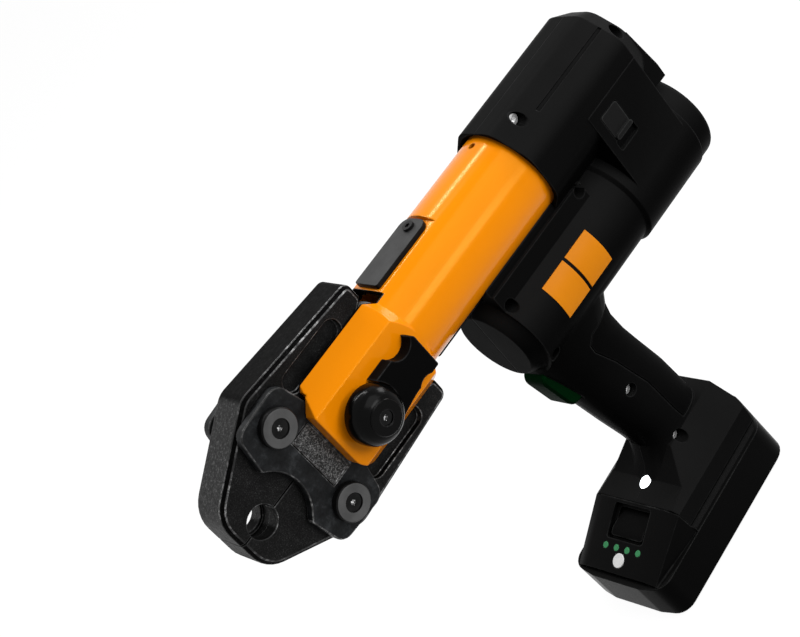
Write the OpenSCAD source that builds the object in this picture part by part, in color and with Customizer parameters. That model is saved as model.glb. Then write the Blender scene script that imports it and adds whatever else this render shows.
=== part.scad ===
// Cordless press tool with its press jaws fitted, in millimetres.
// The battery base is the XY plane, +X points to the jaws and +Z is up.
// The drive unit leans back on the base: it is drawn in the drive frame, which is
// tilted by rake about Y, and the jaw set in the mouth frame, centred on the jaw mouth.

/* [Layout] */
// Angle by which the press axis rises towards the jaws
rake = 3.6; // [2:0.2:5]
// Height of the press axis above the battery base, in the drive frame
press_z = 257.3; // [250:0.1:270]
// Distance of the mouth centre ahead of the battery centre, in the drive frame
mouth_x = 193; // [185:1:205]
// Distance of the motor axis below the press axis
motor_drop = 62; // [60:0.5:66]

/* [Jaws] */
// Thickness of a jaw
jaw_t = 26.4; // [20:0.2:30]
// Distance from the mouth centre back to the jaw pivots
pivot_back = 38.7; // [36:0.1:41]
// Height of a jaw pivot above the press axis
pivot_half = 31.3; // [29:0.1:33]
// Diameter of a pivot pin
pivot_d = 16; // [12:0.5:17]
// Reach of the jaw nose ahead of the mouth centre
nose_l = 16.6; // [15:0.1:20]
// Height where the nose turns into the flank
nose_h = 20.7; // [18:0.1:24]
// Height of the jaw's outer edge at the shoulder
shoulder_h = 52.5; // [50:0.1:56]
// Distance from the mouth centre back to the lever ends
lever_back = 123; // [120:0.5:126]
// Height of a lever's outer edge at its end
lever_h = 46.4; // [44:0.1:50]
// Diameter of the mouth that closes on a fitting
mouth_d = 18.4; // [15:0.1:20]
// Diameter of the bead groove in the mouth
groove_d = 22.4; // [21:0.1:24]
// Width of the bead groove in the mouth
groove_w = 9; // [6:0.5:12]
// Thickness of a jaw plate
plate_t = 5.6; // [4:0.1:6]
// Opening angle of each jaw when the ram is back
jaw_open = 12; // [8:0.5:12]

/* [Fork and cylinder] */
// Outer diameter of the cylinder
tube_d = 58.6; // [57:0.2:60]
// Distance from the mouth centre back to the fork's front
fork_back = 53.5; // [50:0.5:58]
// Width across the fork's flats
fork_w = 58; // [57:0.5:60]
// Height of a fork flat above the press axis
fork_flat_h = 21; // [18:0.5:24]
// Height of the fork's ridge above the press axis
fork_h = 32.8; // [31:0.1:34]
// Distance from the mouth centre back to the retaining bolt
bolt_back = 75.2; // [74:0.1:77]
// Diameter of the retaining bolt
bolt_d = 14; // [12:0.5:15]
// Diameter of the bolt's knob
knob_d = 33; // [30:0.2:34]
// Height of the bolt's knob
knob_h = 19.6; // [16:0.2:24]
// Distance from the mouth centre back to the cylinder's rear end
tube_back = 300; // [296:1:304]
// Stroke of the ram
ram_stroke = 40; // [30:1:40]
// Diameter of the ram rod
rod_d = 22; // [18:0.5:24]
// Diameter of the piston bore
piston_d = 44; // [40:0.5:46]
// Diameter of a press roller
roller_d = 20; // [19:0.2:20]
// Distance from the mouth centre back to the roller axes, ram forward
roller_back = 98; // [97:0.5:99]

/* [Housing] */
// Distance across the flats of the octagonal head
head_w = 66; // [65:0.5:70]
// Place of the head's front rim
rim_x = -48.5; // [-54:0.5:-44]
// Place where the head starts to taper at the rear
head_taper_x = -140; // [-144:1:-138]
// Place of the head's rear face
head_rear_x = -150; // [-154:1:-146]
// Diameter of the motor barrel
barrel_d = 64; // [62:0.5:68]
// Place of the barrel's front shoulder
barrel_front_x = 17; // [14:0.5:20]
// Place of the nose cap's front
nose_front_x = 25; // [22:0.5:28]
// Diameter of the rear motor block
block_d = 68.4; // [66:0.2:72]
// Place of the rear block's front edge
block_front_x = -84; // [-88:1:-80]
// Place of the rear cap's rear face
cap_rear_x = -157; // [-162:1:-155]
// Width of the handle
handle_w = 37; // [34:0.5:40]
// Diameter of the motor
motor_d = 52; // [48:0.5:53]

/* [Battery] */
// Length of the battery pack
battery_l = 125; // [120:1:130]
// Width of the battery pack
battery_w = 80; // [76:1:86]
// Bow of the battery's front
battery_bow = 3.5; // [2:0.5:6]
// Height of the battery tray, up to its front ledge
tray_h = 28.5; // [26:0.5:30]
// Height of the battery's upright side
battery_side_h = 31; // [29:0.5:33]
// Height of the seam between battery and foot
seam_h = 33.5; // [33.2:0.1:36]
// Height of the foot's edge
foot_edge_h = 45; // [43:0.5:48]
// Height of the foot's ridge behind the handle
foot_ridge_h = 63; // [58:0.5:66]
// Place of the foot's front seam
foot_front_x = 20.3; // [18:0.1:24]
// Diameter of a battery cell
cell_d = 18.4; // [18:0.1:18.6]
// Length of a battery cell
cell_l = 65; // [60:1:66]

/* [Controls] */
// Travel of the trigger
trigger_travel = 6; // [3:0.5:7]
// Travel of the reset button
reset_travel = 2.5; // [1:0.1:3]
// Travel of the battery release button
release_travel = 2.5; // [1:0.1:3]
// Travel of the charge check button
check_travel = 1; // [0.5:0.1:1.5]
// Travel of the bolt latch
latch_travel = 4; // [2:0.5:5]

/* [Hidden] */
$fn = 64;

// Overrun of a cut past the face that it opens
over = 2;
// Clearance of a shaft in a hole that it turns or slides in
run_gap = 0.05;
// Clearance between pieces that move past each other
slide_gap = 0.3;
// Points along the arc of a rounded corner
arc_steps = 6;
// Angle at which a screw hole's seam lies
seam_turn = 70;

// Jaw set
nose_r = 20;
shoulder_r = 14;
shoulder_back = 38;
lever_r = 5;
cam_r = 14;
bay_r = 12;
bay_back = 60;
split_back = 33;
split_r = 4;
split_gap = 2 * slide_gap;
roller_gap = 0.5;
roller_half = (roller_d + roller_gap) / 2;
cam_h = roller_half + roller_d / 2 + slide_gap;
cam_room = 1.4;
cam_rise = (lever_back - pivot_back) * sin(jaw_open * (lever_back - roller_back) / ram_stroke);
lever_in_h = cam_h + cam_rise + cam_room;
lever_pocket_x0 = 104;
lever_pocket_x1 = 58;
lever_pocket_h0 = 29.5;
lever_pocket_h1 = 42.5;
lever_pocket_r = 6;
lever_pocket_t = 4;
plate_in = jaw_t / 2 + slide_gap;
plate_out = plate_in + plate_t;
plate_front = 16.8;
plate_front_h = 22;
plate_lobe_back = 20.5;
plate_lobe_h = 45;
plate_rear_back = 55;
plate_rear_h = 47;
plate_neck_back = 61;
plate_room = 1;
stem_h = 20;
stem_back = 92;
plate_r = 8;
neck_r = 6;
stem_r = 15;
bite_d = 53.6;
patch_front = 38.7;
patch_back = 52.8;
patch_half = 18;
patch_t = 0.5;
disc_d = 22;
disc_t = 4.9;
disc_bevel = 0.8;
pivot_head_d = 10.4;
pivot_head_t = 2.4;
pivot_sink = 0.8;
pivot_shank_d = 6;
pivot_shank_l = 14;
drive_d = 3.6;
drive_t = 1.4;
star_lobes = 6;
star_share = 0.72;

// Fork, retaining bolt, latch and guard strips
slot_half = jaw_t / 2 + 3 * slide_gap;
slot_back = 133;
pocket_half = plate_out + slide_gap;
pocket_room = 2.5;
pocket_h = stem_h + pocket_room;
pocket_back = 96;
ear_cut_back = 65;
ear_r = 12;
fork_low_h = 17;
shoulder_top_back = 119;
shoulder_low_back = 126.5;
shoulder_d = 72.4;
tube_front_back = 118;
tail_front_back = 250;
tail_wall = 2.5;
tail_gap = 0.7;
tail_d = piston_d + 2 * tail_wall;
bolt_base = 0.4;
bolt_tail = 0.5;
bolt_nose_bevel = 1.5;
knob_neck_d = 25;
knob_neck_t = 4.5;
knob_rim_t = 8.5;
knob_top_d = 13;
knob_dish_d = 8.4;
knob_dish_t = 3;
knob_screw_t = 2.2;
knob_screw_shank_d = 6;
knob_screw_shank_l = 28;
latch_t = 8.5;
latch_gap = 0.8;
latch_front_back = 80;
latch_top_h = 11.3;
latch_rear_back = 120.5;
latch_rear_h = 9.3;
latch_corner_back = 118.5;
latch_low_h = 16.5;
latch_heel_h = 13.3;
latch_heel_back = 100;
latch_r = 1;
thumb_d = 18;
thumb_back = 110.3;
thumb_rise = 3.5;
finger_d = 16;
finger_back = 109.2;
finger_drop = 3;
latch_guide_w = 6;
latch_guide_t = 3;
latch_guide_l = 20;
latch_guide_back = 116;
strip_w = 20.4;
strip_t = 3.2;
strip_seat_h = 26.4;
strip_front_back = 134.5;
strip_rear_back = 182;
strip_r = 6;
strip_front_r = 1.5;
strip_screw_back = 175.5;
strip_head_d = 7;
strip_head_t = 1.6;
strip_shank_d = 3.4;
strip_shank_l = 6;
vent_back = 236;
vent_d = 4;

// Ram inside the cylinder
carriage_d = 45.8;
carriage_bore_d = carriage_d + 2 * run_gap;
carriage_front_back = 112;
carriage_back = 128;
carriage_bore_front = 84;
carriage_room = 10;
gland_t = 12;
gland_front_back = carriage_back + ram_stroke + carriage_room;
gland_rear_back = gland_front_back + gland_t;
cheek_h = 17;
cheek_in = 7.9;
cheek_out = 11.4;
cheek_front_back = 90;
cheek_r = 6;
roller_w = 15.2;
roller_pin_d = 8;
piston_t = 18;
piston_front_back = 222;
seal_w = 5;
seal_t = 2.5;
seal_lip = 0.02;
spring_d = 32;
spring_wire_d = 3;
spring_turns = 5;
spring_ring_steps = 12;
spring_sides = 6;
spring_end_gap = 0.3;

// Drive train
motor_z = press_z - motor_drop;
block_x = mouth_x - tube_back;
pump_l = 28;
pump_w = 48;
pump_top = 17;
pump_low = 20;
pump_flange_t = 12;
gear_l = 26;
gear_bevel = 2;
motor_l = 74;
can_wall = 2.5;
rotor_gap = 1;
rotor_end_gap = 3;
shaft_d = 8;
fan_d = 44;
fan_t = 9;
fan_gap = 1.5;
fan_blades = 9;
fan_blade_t = 2;
fan_blade_inset = 0.6;
fan_hub_d = 16;
eccentric_d = 18;
eccentric_shift = 2.5;
eccentric_t = 10;
eccentric_sink = 8;
eccentric_room = 1;
shaft_in_pump = 24;

// Housing
wall_gap = 0.1;
rim_dish = 3;
rim_open_d = 64;
head_end_w = 54;
head_r = 14;
web_rear_x = -154.5;
web_rise = 9;
web_top_drop = 10;
panel_half = 33.5;
panel_front_x = -92;
block_edge = 2;
nose_step = 1.5;
nose_neck_d = 55;
nose_neck_l = 3.5;
nose_rim_d = 52;
nose_rim_round = 2;
bridge_half = 22;
bridge_ledge = 2.2;
bridge_low_drop = 27.3;
bridge_top_drop = 20;
bridge_rear_x = -70;
head_groove_w = 2.4;
head_groove_t = 1.2;
head_groove_front_x = -76;
cap_front_x = -143;
cap_d = 66.4;
cap_round = 4;
cap_top_drop = 33.6;
handle_low = 49;
handle_top_drop = 9.3;
handle_h = motor_z - handle_top_drop - handle_low;
handle_d = 50;
handle_sides = 28;
handle_power = 2.6;
grip_t = 1.4;
grip_groove = 0.7;
boss_d = 8;
screw_head_d = 6.4;
screw_head_t = 2.6;
screw_shank_d = 3.6;
screw_tail_y = -14;
label_t = 0.3;
label_front_x = -6.8;
label_l = 20.8;
label_gap = 2.2;
label_low = 8;
label_high = 16.5;
reset_x = -106;
reset_drop = 15.3;
reset_l = 14.5;
reset_h = 17.5;
reset_dish_l = 17;
reset_dish_h = 7;
reset_dish_t = 3;
reset_proud = 0.2;
reset_lip = 1.8;
reset_lip_h = 3;
reset_flange = 2;
reset_flange_t = 2;
reset_back_gap = 0.5;
reset_r = 1.5;

// Trigger and switch
trigger_w = 19;
trigger_top_z = 164;
trigger_low_z = 131;
trigger_top_x = 23.5;
trigger_low_x = 16.6;
trigger_depth = 20;
trigger_bevel = 3;
trigger_r = 7;
trigger_tail_r = 2;
trigger_flange = 2;
trigger_flange_t = 3;
switch_l = 20;
switch_h = 26;
switch_w = 16;
switch_z = 149;
board_l = 40;
board_w = 30;
board_t = 1.6;
board_x = -30;
board_h = 48;
board_parts_t = 6;
chip_share = 0.6;
light_d = 9;
light_x = 6.4;
light_rim = 1;
light_sink = 5;
light_tilt = 12;

// Foot and battery
plan_r = 13;
plan_front_r = 11;
plan_bow_share = 0.5;
tray_bevel = 2;
foot_gap = 0.3;
seam_gap = 0.9;
foot_side_w = 76;
foot_edge_w = 72.4;
foot_crown_w = 58;
foot_crown_h = 50;
foot_ridge_w = 38;
foot_front_h = 47.6;
foot_deck_x = 4;
foot_deck_h = 49;
foot_back_x = -62;
foot_back_low_x = -61;
foot_slope_l = 18;
rail_w = 44;
rail_neck_w = 36;
rail_neck_h = 37;
rail_h = 41.5;
rail_rear_x = -46;
block_gap = 0.3;
block_inset = 1;
block_low_w = battery_w - 2 * block_inset;
block_rear_w = 72.4;
block_top_w = 56;
block_front_x2 = 62;
block_front_w = 70;
block_edge_w = 68;
block_front_h = 29.6;
block_front_top_w = 52;
block_front_top_h = 31.4;
cell_count = 6;
cell_floor = 3.2;
cell_gap = 0.2;
contact_l = 12;
contact_t = 1.2;
contact_h = 3;
contact_pitch = 9;
contact_count = 4;
terminal_t = 1;
bat_screw_x = 53;
bat_screw_y = 35.5;
bat_screw_head_d = 5;
bat_screw_head_t = 2;
bat_screw_sink = 1.5;
bat_screw_d = 2.6;
bat_screw_l = 24;
release_x = 33;
release_l = 18;
release_w = 27;
release_t = 8;
release_sink = 1.2;
release_slope = 5;
release_lip = 5;
release_r = 2;
release_dish_l = 22;
release_dish_w = 31;
release_dish_t = 3.5;
check_x = 54.5;
check_d = 9;
check_t = 3;
check_proud = 0.5;
led_x = 47.8;
led_d = 4.2;
led_t = 4;
led_proud = 0.3;
led_pitch = 9.4;
led_count = 4;

// Frames
module drive() {
    rotate([0, -rake, 0])
        children();
}

module at_mouth() {
    drive()
        translate([mouth_x, 0, press_z])
            children();
}

// Outlines
function unit(v) = v / norm(v);
function arc_point(centre, r, angle) = centre + r * [cos(angle), sin(angle)];

function arc_corner(a, b, c, r) =
    let (
        u = unit(a - b),
        v = unit(c - b),
        half = acos(u * v) / 2,
        centre = b + unit(u + v) * r / sin(half),
        from = b + u * r / tan(half) - centre,
        to = b + v * r / tan(half) - centre,
        start = atan2(from.y, from.x),
        sweep = (atan2(to.y, to.x) - start + 540) % 360 - 180
    )
    [for (i = [0 : arc_steps]) arc_point(centre, r, start + sweep * i / arc_steps)];

// A polygon whose corners are rounded, each by its own radius
function rounded(p, r) =
    let (n = len(p))
    [for (i = [0 : n - 1])
        each r[i] == 0 ? [p[i]] : arc_corner(p[(i + n - 1) % n], p[i], p[(i + 1) % n], r[i])];

function rounded_all(p, r) = rounded(p, [for (q = p) r]);

// A counter-clockwise polygon with every edge moved inwards
function inset(p, d) =
    let (n = len(p))
    [for (i = [0 : n - 1])
        let (
            e0 = unit(p[i] - p[(i + n - 1) % n]),
            e1 = unit(p[(i + 1) % n] - p[i]),
            n0 = [-e0.y, e0.x],
            n1 = [-e1.y, e1.x]
        )
        p[i] + (n0 + n1) * d / (1 + n0 * n1)];

function box_points(x0, y0, x1, y1) = [[x0, y0], [x1, y0], [x1, y1], [x0, y1]];

// A solid from rings of points
module loft(rings) {
    n = len(rings[0]);
    m = len(rings);
    points = [for (r = rings) each r];
    sides = [for (i = [0 : m - 2], j = [0 : n - 1])
        let (k = (j + 1) % n)
        each [[i * n + j, (i + 1) * n + j, (i + 1) * n + k], [i * n + j, (i + 1) * n + k, i * n + k]]];
    caps = [[for (j = [0 : n - 1]) j], [for (j = [n - 1 : -1 : 0]) (m - 1) * n + j]];
    polyhedron(points, concat(sides, caps));
}

// An outline in X and Z between two planes across Y
module slab(y0, y1) {
    translate([0, y1, 0])
        rotate([90, 0, 0])
            linear_extrude(y1 - y0)
                children();
}

// An outline in Y and Z from one X to another
module along_x(x0, x1) {
    translate([x0, 0, 0])
        rotate([90, 0, 90])
            linear_extrude(x1 - x0)
                children();
}

// A slab whose edges are bevelled on both faces
module bevelled_slab(outline, y0, y1, bevel) {
    steps = [[y1, bevel], [y1 - bevel, 0], [y0 + bevel, 0], [y0, bevel]];
    loft([for (s = steps) [for (q = inset(outline, s[1])) [q.x, s[0], q.y]]]);
}

module rod_x(x0, x1, d) {
    translate([x0, 0, 0])
        rotate([0, 90, 0])
            cylinder(h = x1 - x0, d = d);
}

module rod_y(y0, y1, d) {
    translate([0, y0, 0])
        rotate([-90, 0, 0])
            cylinder(h = y1 - y0, d = d);
}

module box(low, high) {
    translate(low)
        cube(high - low);
}

// A six-lobed recess
function star(d) =
    [for (i = [0 : 2 * star_lobes - 1])
        let (r = i % 2 == 0 ? d / 2 : d / 2 * star_share)
        r * [cos(180 * i / star_lobes), sin(180 * i / star_lobes)]];

// A screw along +Z with its head's top at 0
module screw(head_d, head_t, shank_d, shank_l, key_d) {
    difference() {
        union() {
            translate([0, 0, -head_t])
                cylinder(h = head_t, d = head_d);
            translate([0, 0, -head_t - shank_l])
                cylinder(h = shank_l, d = shank_d);
        }
        translate([0, 0, -drive_t])
            linear_extrude(drive_t + over)
                polygon(star(key_d));
    }
}

// The hole that such a screw sits in, open upwards, with its seam turned clear of other edges
module screw_hole(head_d, head_t, shank_d, shank_l, rise) {
    rotate([0, 0, seam_turn]) {
        translate([0, 0, -head_t])
            cylinder(h = head_t + rise, d = head_d);
        translate([0, 0, -head_t - shank_l])
            cylinder(h = shank_l + over, d = shank_d);
    }
}

module face_left() {
    rotate([-90, 0, 0])
        children();
}

// Jaw set
module at_pivots() {
    for (side = [-1, 1])
        translate([-pivot_back, 0, side * pivot_half])
            children();
}

module at_bolt() {
    translate([-bolt_back, 0, 0])
        children();
}

module jaw() {
    outline = rounded([
        [nose_l, split_gap / 2],
        [nose_l, nose_h],
        [-shoulder_back, shoulder_h],
        [-lever_back, lever_h],
        [-lever_back, lever_in_h],
        [-roller_back, cam_h],
        [-bay_back, cam_h],
        [-split_back, split_gap / 2]
    ], [0, nose_r, shoulder_r, lever_r, lever_r, cam_r, bay_r, split_r]);
    pocket = rounded_all(box_points(-lever_pocket_x0, lever_pocket_h0, -lever_pocket_x1, lever_pocket_h1),
        lever_pocket_r);
    difference() {
        slab(-jaw_t / 2, jaw_t / 2)
            polygon(outline);
        translate([-pivot_back, 0, pivot_half])
            rod_y(-jaw_t, jaw_t, pivot_d + 2 * run_gap);
        rod_y(-jaw_t, jaw_t, mouth_d);
        rod_y(-groove_w / 2, groove_w / 2, groove_d);
        for (side = [0, 1])
            mirror([0, side, 0])
                slab(jaw_t / 2 - lever_pocket_t, jaw_t / 2 + over)
                    polygon(pocket);
    }
}

module upper_jaw() {
    color("dimgray")
        at_mouth()
            jaw();
}

module lower_jaw() {
    color("dimgray")
        at_mouth()
            mirror([0, 0, 1])
                jaw();
}

module jaw_plate() {
    half = [
        [-stem_back, stem_h],
        [-plate_neck_back, stem_h],
        [-plate_rear_back, plate_rear_h],
        [-plate_lobe_back, plate_lobe_h],
        [-plate_front, plate_front_h]
    ];
    half_r = [stem_r, neck_r, plate_r, plate_r, 0];
    low = [for (q = half) [q.x, -q.y]];
    high = [for (i = [len(half) - 1 : -1 : 0]) half[i]];
    high_r = [for (i = [len(half) - 1 : -1 : 0]) half_r[i]];
    difference() {
        slab(plate_in, plate_out)
            polygon(rounded(concat(low, high), concat(half_r, high_r)));
        rod_y(0, plate_out + over, bite_d);
        at_pivots()
            rod_y(0, plate_out + over, pivot_d + 2 * run_gap);
        at_bolt()
            rod_y(0, plate_out + over, bolt_d + 2 * run_gap);
        box([-patch_back, plate_out - patch_t, -patch_half], [-patch_front, plate_out + over, patch_half]);
    }
}

module jaw_plate_left() {
    color("dimgray")
        at_mouth()
            jaw_plate();
}

module jaw_plate_right() {
    color("dimgray")
        at_mouth()
            mirror([0, 1, 0])
                jaw_plate();
}

// The four places where a pivot disc closes a pin, drawn along +Z
module at_discs() {
    at_mouth()
        at_pivots()
            for (turn = [-90, 90])
                rotate([turn, 0, 0])
                    translate([0, 0, plate_out])
                        children();
}

module disc_screw_hole() {
    translate([0, 0, disc_t - pivot_sink])
        screw_hole(pivot_head_d + 2 * run_gap, pivot_head_t, pivot_shank_d + 2 * run_gap,
            pivot_shank_l, over);
}

module pivot_pins() {
    color("gray")
        difference() {
            at_mouth()
                at_pivots()
                    rod_y(-plate_out, plate_out, pivot_d);
            at_discs()
                disc_screw_hole();
        }
}

module pivot_discs() {
    color("slategray")
        at_discs()
            difference() {
                union() {
                    cylinder(h = disc_t - disc_bevel, d = disc_d);
                    translate([0, 0, disc_t - disc_bevel])
                        cylinder(h = disc_bevel, d1 = disc_d, d2 = disc_d - 2 * disc_bevel);
                }
                disc_screw_hole();
            }
}

module pivot_screws() {
    color("dimgray")
        at_discs()
            translate([0, 0, disc_t - pivot_sink])
                screw(pivot_head_d, pivot_head_t, pivot_shank_d, pivot_shank_l, drive_d);
}

// Fork and cylinder
module fork_section() {
    half_w = fork_w / 2;
    polygon([
        [half_w, -fork_flat_h],
        [half_w, fork_flat_h],
        [slot_half, fork_h],
        [-slot_half, fork_h],
        [-half_w, fork_flat_h],
        [-half_w, -fork_flat_h],
        [-slot_half, -fork_h],
        [slot_half, -fork_h]
    ]);
}

module fork_block() {
    ear = rounded([
        [-shoulder_low_back, -fork_h - over],
        [-ear_cut_back, -fork_h - over],
        [-ear_cut_back, -fork_h],
        [-fork_back, -fork_low_h],
        [-fork_back, fork_flat_h],
        [-ear_cut_back, fork_h],
        [-ear_cut_back, fork_h + over],
        [-shoulder_low_back, fork_h + over]
    ], [0, 0, 0, ear_r, 0, 0, 0, 0]);
    intersection() {
        along_x(-shoulder_low_back, -fork_back)
            fork_section();
        slab(-fork_w, fork_w)
            polygon(ear);
        union() {
            rod_x(-shoulder_top_back, -fork_back, 2 * fork_w);
            translate([-shoulder_low_back, 0, 0])
                rotate([0, 90, 0])
                    cylinder(h = shoulder_low_back - shoulder_top_back, d1 = tube_d, d2 = shoulder_d);
        }
    }
}

module at_strip_screws() {
    for (turn = [0, 180])
        rotate([turn, 0, 0])
            translate([-strip_screw_back, 0, strip_seat_h + strip_t + strip_head_t])
                children();
}

module cylinder_fork() {
    color("orange")
        at_mouth()
            difference() {
                union() {
                    fork_block();
                    rod_x(-tail_front_back, -tube_front_back, tube_d);
                    rod_x(-tube_back, -tail_front_back + over, tail_d);
                }
                box([-slot_back, -slot_half, -fork_w], [0, slot_half, fork_w]);
                box([-pocket_back, -pocket_half, -pocket_h], [0, pocket_half, pocket_h]);
                box([-plate_neck_back - plate_room, -pocket_half, -fork_w], [0, pocket_half, fork_w]);
                at_bolt()
                    rod_y(-fork_w, fork_w, bolt_d + 2 * run_gap);
                rod_x(-gland_front_back, -carriage_bore_front, carriage_bore_d);
                rod_x(-tube_back, -slot_back, rod_d + 2 * run_gap);
                rod_x(-tube_back - over, -gland_rear_back, piston_d);
                for (side = [0, 1])
                    mirror([0, 0, side])
                        box([-strip_rear_back - over, -tube_d / 2, strip_seat_h],
                            [-slot_back, tube_d / 2, tube_d]);
                at_strip_screws()
                    screw_hole(strip_head_d, strip_head_t, strip_shank_d + 2 * run_gap, strip_shank_l, 0);
                translate([-vent_back, 0, 0])
                    cylinder(h = tube_d, d = vent_d);
                translate([-latch_guide_back - latch_travel - slide_gap, 0, 0])
                    box([0, fork_w / 2 - latch_guide_t - slide_gap, -latch_guide_w / 2 - slide_gap],
                        [latch_guide_l + latch_travel + 2 * slide_gap, fork_w,
                            latch_guide_w / 2 + slide_gap]);
            }
}

module retaining_bolt() {
    color("silver")
        at_mouth()
            at_bolt()
                difference() {
                    union() {
                        rod_y(-fork_w / 2 + bolt_tail, fork_w / 2 + bolt_base, bolt_d);
                        translate([0, -fork_w / 2 + bolt_tail, 0])
                            face_left()
                                translate([0, 0, -bolt_nose_bevel])
                                    cylinder(h = bolt_nose_bevel, d1 = bolt_d - 2 * bolt_nose_bevel,
                                        d2 = bolt_d);
                    }
                    at_knob_screw()
                        screw_hole(knob_dish_d, knob_screw_t, knob_screw_shank_d + 2 * run_gap,
                            knob_screw_shank_l, knob_h);
                }
}

module at_knob_screw() {
    translate([0, fork_w / 2 + bolt_base + knob_h - knob_dish_t + knob_screw_t, 0])
        face_left()
            children();
}

// Half outline of the knob, radius first
function knob_profile() =
    let (
        rim = knob_d / 2,
        top = knob_top_d / 2,
        rise = knob_h - knob_rim_t
    )
    concat(
        [
            [0, 0],
            [knob_neck_d / 2, 0],
            [knob_neck_d / 2, knob_neck_t],
            [rim - disc_bevel, knob_neck_t],
            [rim, knob_neck_t + disc_bevel],
            [rim, knob_rim_t]
        ],
        [for (i = [1 : arc_steps])
            let (a = 90 * i / arc_steps)
            [top + (rim - top) * cos(a), knob_rim_t + rise * sin(a)]],
        [[knob_dish_d / 2, knob_h], [knob_dish_d / 2, knob_h - knob_dish_t], [0, knob_h - knob_dish_t]]
    );

module bolt_knob() {
    color("black")
        at_mouth()
            at_bolt()
                translate([0, fork_w / 2 + bolt_base, 0])
                    face_left()
                        difference() {
                            rotate_extrude()
                                polygon(knob_profile());
                            cylinder(h = knob_h, d = knob_screw_shank_d + 2 * run_gap);
                        }
}

module knob_screw() {
    color("dimgray")
        at_mouth()
            at_bolt()
                at_knob_screw()
                    screw(knob_dish_d - 2 * run_gap, knob_screw_t, knob_screw_shank_d,
                        knob_screw_shank_l, drive_d);
}

module bolt_latch() {
    base = fork_w / 2 + slide_gap;
    outline = rounded_all([
        [-latch_front_back, -latch_low_h],
        [-latch_front_back, latch_top_h],
        [-latch_corner_back, latch_top_h],
        [-latch_rear_back, latch_rear_h],
        [-latch_rear_back, -latch_heel_h],
        [-latch_heel_back, -latch_heel_h]
    ], latch_r);
    color("black")
        at_mouth() {
            difference() {
                slab(base, base + latch_t)
                    polygon(outline);
                at_bolt()
                    rod_y(base - over, base + latch_t + over, knob_d + 2 * latch_gap);
                translate([-thumb_back, 0, latch_top_h + thumb_rise])
                    rod_y(base - over, base + latch_t + over, thumb_d);
                translate([-finger_back, 0, -latch_low_h - finger_drop])
                    rod_y(base - over, base + latch_t + over, finger_d);
            }
            translate([-latch_guide_back, 0, 0])
                box([0, fork_w / 2 - latch_guide_t, -latch_guide_w / 2],
                    [latch_guide_l, base + slide_gap, latch_guide_w / 2]);
        }
}

module guard_strip() {
    outline = rounded([
        [-strip_rear_back, -strip_w / 2],
        [-strip_front_back, -strip_w / 2],
        [-strip_front_back, strip_w / 2],
        [-strip_rear_back, strip_w / 2]
    ], [strip_r, strip_front_r, strip_front_r, strip_r]);
    difference() {
        translate([0, 0, strip_seat_h])
            linear_extrude(strip_t)
                polygon(outline);
        translate([-strip_screw_back, 0, 0])
            cylinder(h = fork_w, d = strip_shank_d + 2 * run_gap);
    }
}

module guard_strip_top() {
    color("gray")
        at_mouth()
            guard_strip();
}

module guard_strip_bottom() {
    color("gray")
        at_mouth()
            rotate([180, 0, 0])
                guard_strip();
}

module strip_screws() {
    color("silver")
        at_mouth()
            at_strip_screws()
                screw(strip_head_d, strip_head_t, strip_shank_d, strip_shank_l, drive_d);
}

// Ram
module ram_rod() {
    color("silver")
        at_mouth()
            rod_x(-piston_front_back, -carriage_back, rod_d);
}

module piston() {
    color("gray")
        at_mouth()
            difference() {
                rod_x(-piston_front_back - piston_t, -piston_front_back, piston_d - 2 * run_gap);
                difference() {
                    seal_band(piston_d + over, seal_w);
                    seal_band(piston_d - 2 * seal_t, seal_w);
                }
            }
}

module seal_band(d, w) {
    mid = -piston_front_back - piston_t / 2;
    rod_x(mid - w / 2, mid + w / 2, d);
}

module piston_seal() {
    color("black")
        at_mouth()
            difference() {
                seal_band(piston_d - 2 * seal_lip, seal_w - 2 * run_gap);
                seal_band(piston_d - 2 * seal_t + 2 * run_gap, seal_w);
            }
}

// A compression spring as one tube on a helix along +X
module return_spring() {
    start = -piston_front_back + spring_end_gap + spring_wire_d / 2;
    end = -gland_rear_back - spring_end_gap - spring_wire_d / 2;
    count = spring_turns * spring_ring_steps;
    pitch = (end - start) / spring_turns;
    echo(str("return_spring gap to itself ", pitch - spring_wire_d));
    rings = [for (i = [0 : count])
        let (turn = 360 * i / spring_ring_steps)
        [for (k = [0 : spring_sides - 1])
            let (
                a = 360 * k / spring_sides,
                reach = (spring_d + spring_wire_d * cos(a)) / 2
            )
            [start + (end - start) * i / count - spring_wire_d / 2 * sin(a),
                reach * cos(turn), reach * sin(turn)]]];
    color("silver")
        at_mouth()
            loft(rings);
}

module at_rollers() {
    for (side = [-1, 1])
        translate([-roller_back, 0, side * roller_half])
            children();
}

module roller_carriage() {
    cheek = rounded([
        [-carriage_back, -cheek_h],
        [-cheek_front_back, -cheek_h],
        [-cheek_front_back, cheek_h],
        [-carriage_back, cheek_h]
    ], [0, cheek_r, cheek_r, 0]);
    color("gray")
        at_mouth()
            difference() {
                union() {
                    rod_x(-carriage_back, -carriage_front_back, carriage_d);
                    for (side = [0, 1])
                        mirror([0, side, 0])
                            slab(cheek_in, cheek_out)
                                polygon(cheek);
                }
                at_rollers()
                    rod_y(-fork_w, fork_w, roller_pin_d + 2 * run_gap);
            }
}

module roller() {
    difference() {
        rod_y(-roller_w / 2, roller_w / 2, roller_d);
        rod_y(-roller_w, roller_w, roller_pin_d + 2 * run_gap);
    }
}

module upper_roller() {
    color("silver")
        at_mouth()
            translate([-roller_back, 0, roller_half])
                roller();
}

module lower_roller() {
    color("silver")
        at_mouth()
            translate([-roller_back, 0, -roller_half])
                roller();
}

module roller_pins() {
    color("dimgray")
        at_mouth()
            at_rollers()
                rod_y(-cheek_out, cheek_out, roller_pin_d);
}

// Drive train
module at_motor() {
    drive()
        translate([0, 0, motor_z])
            children();
}

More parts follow.
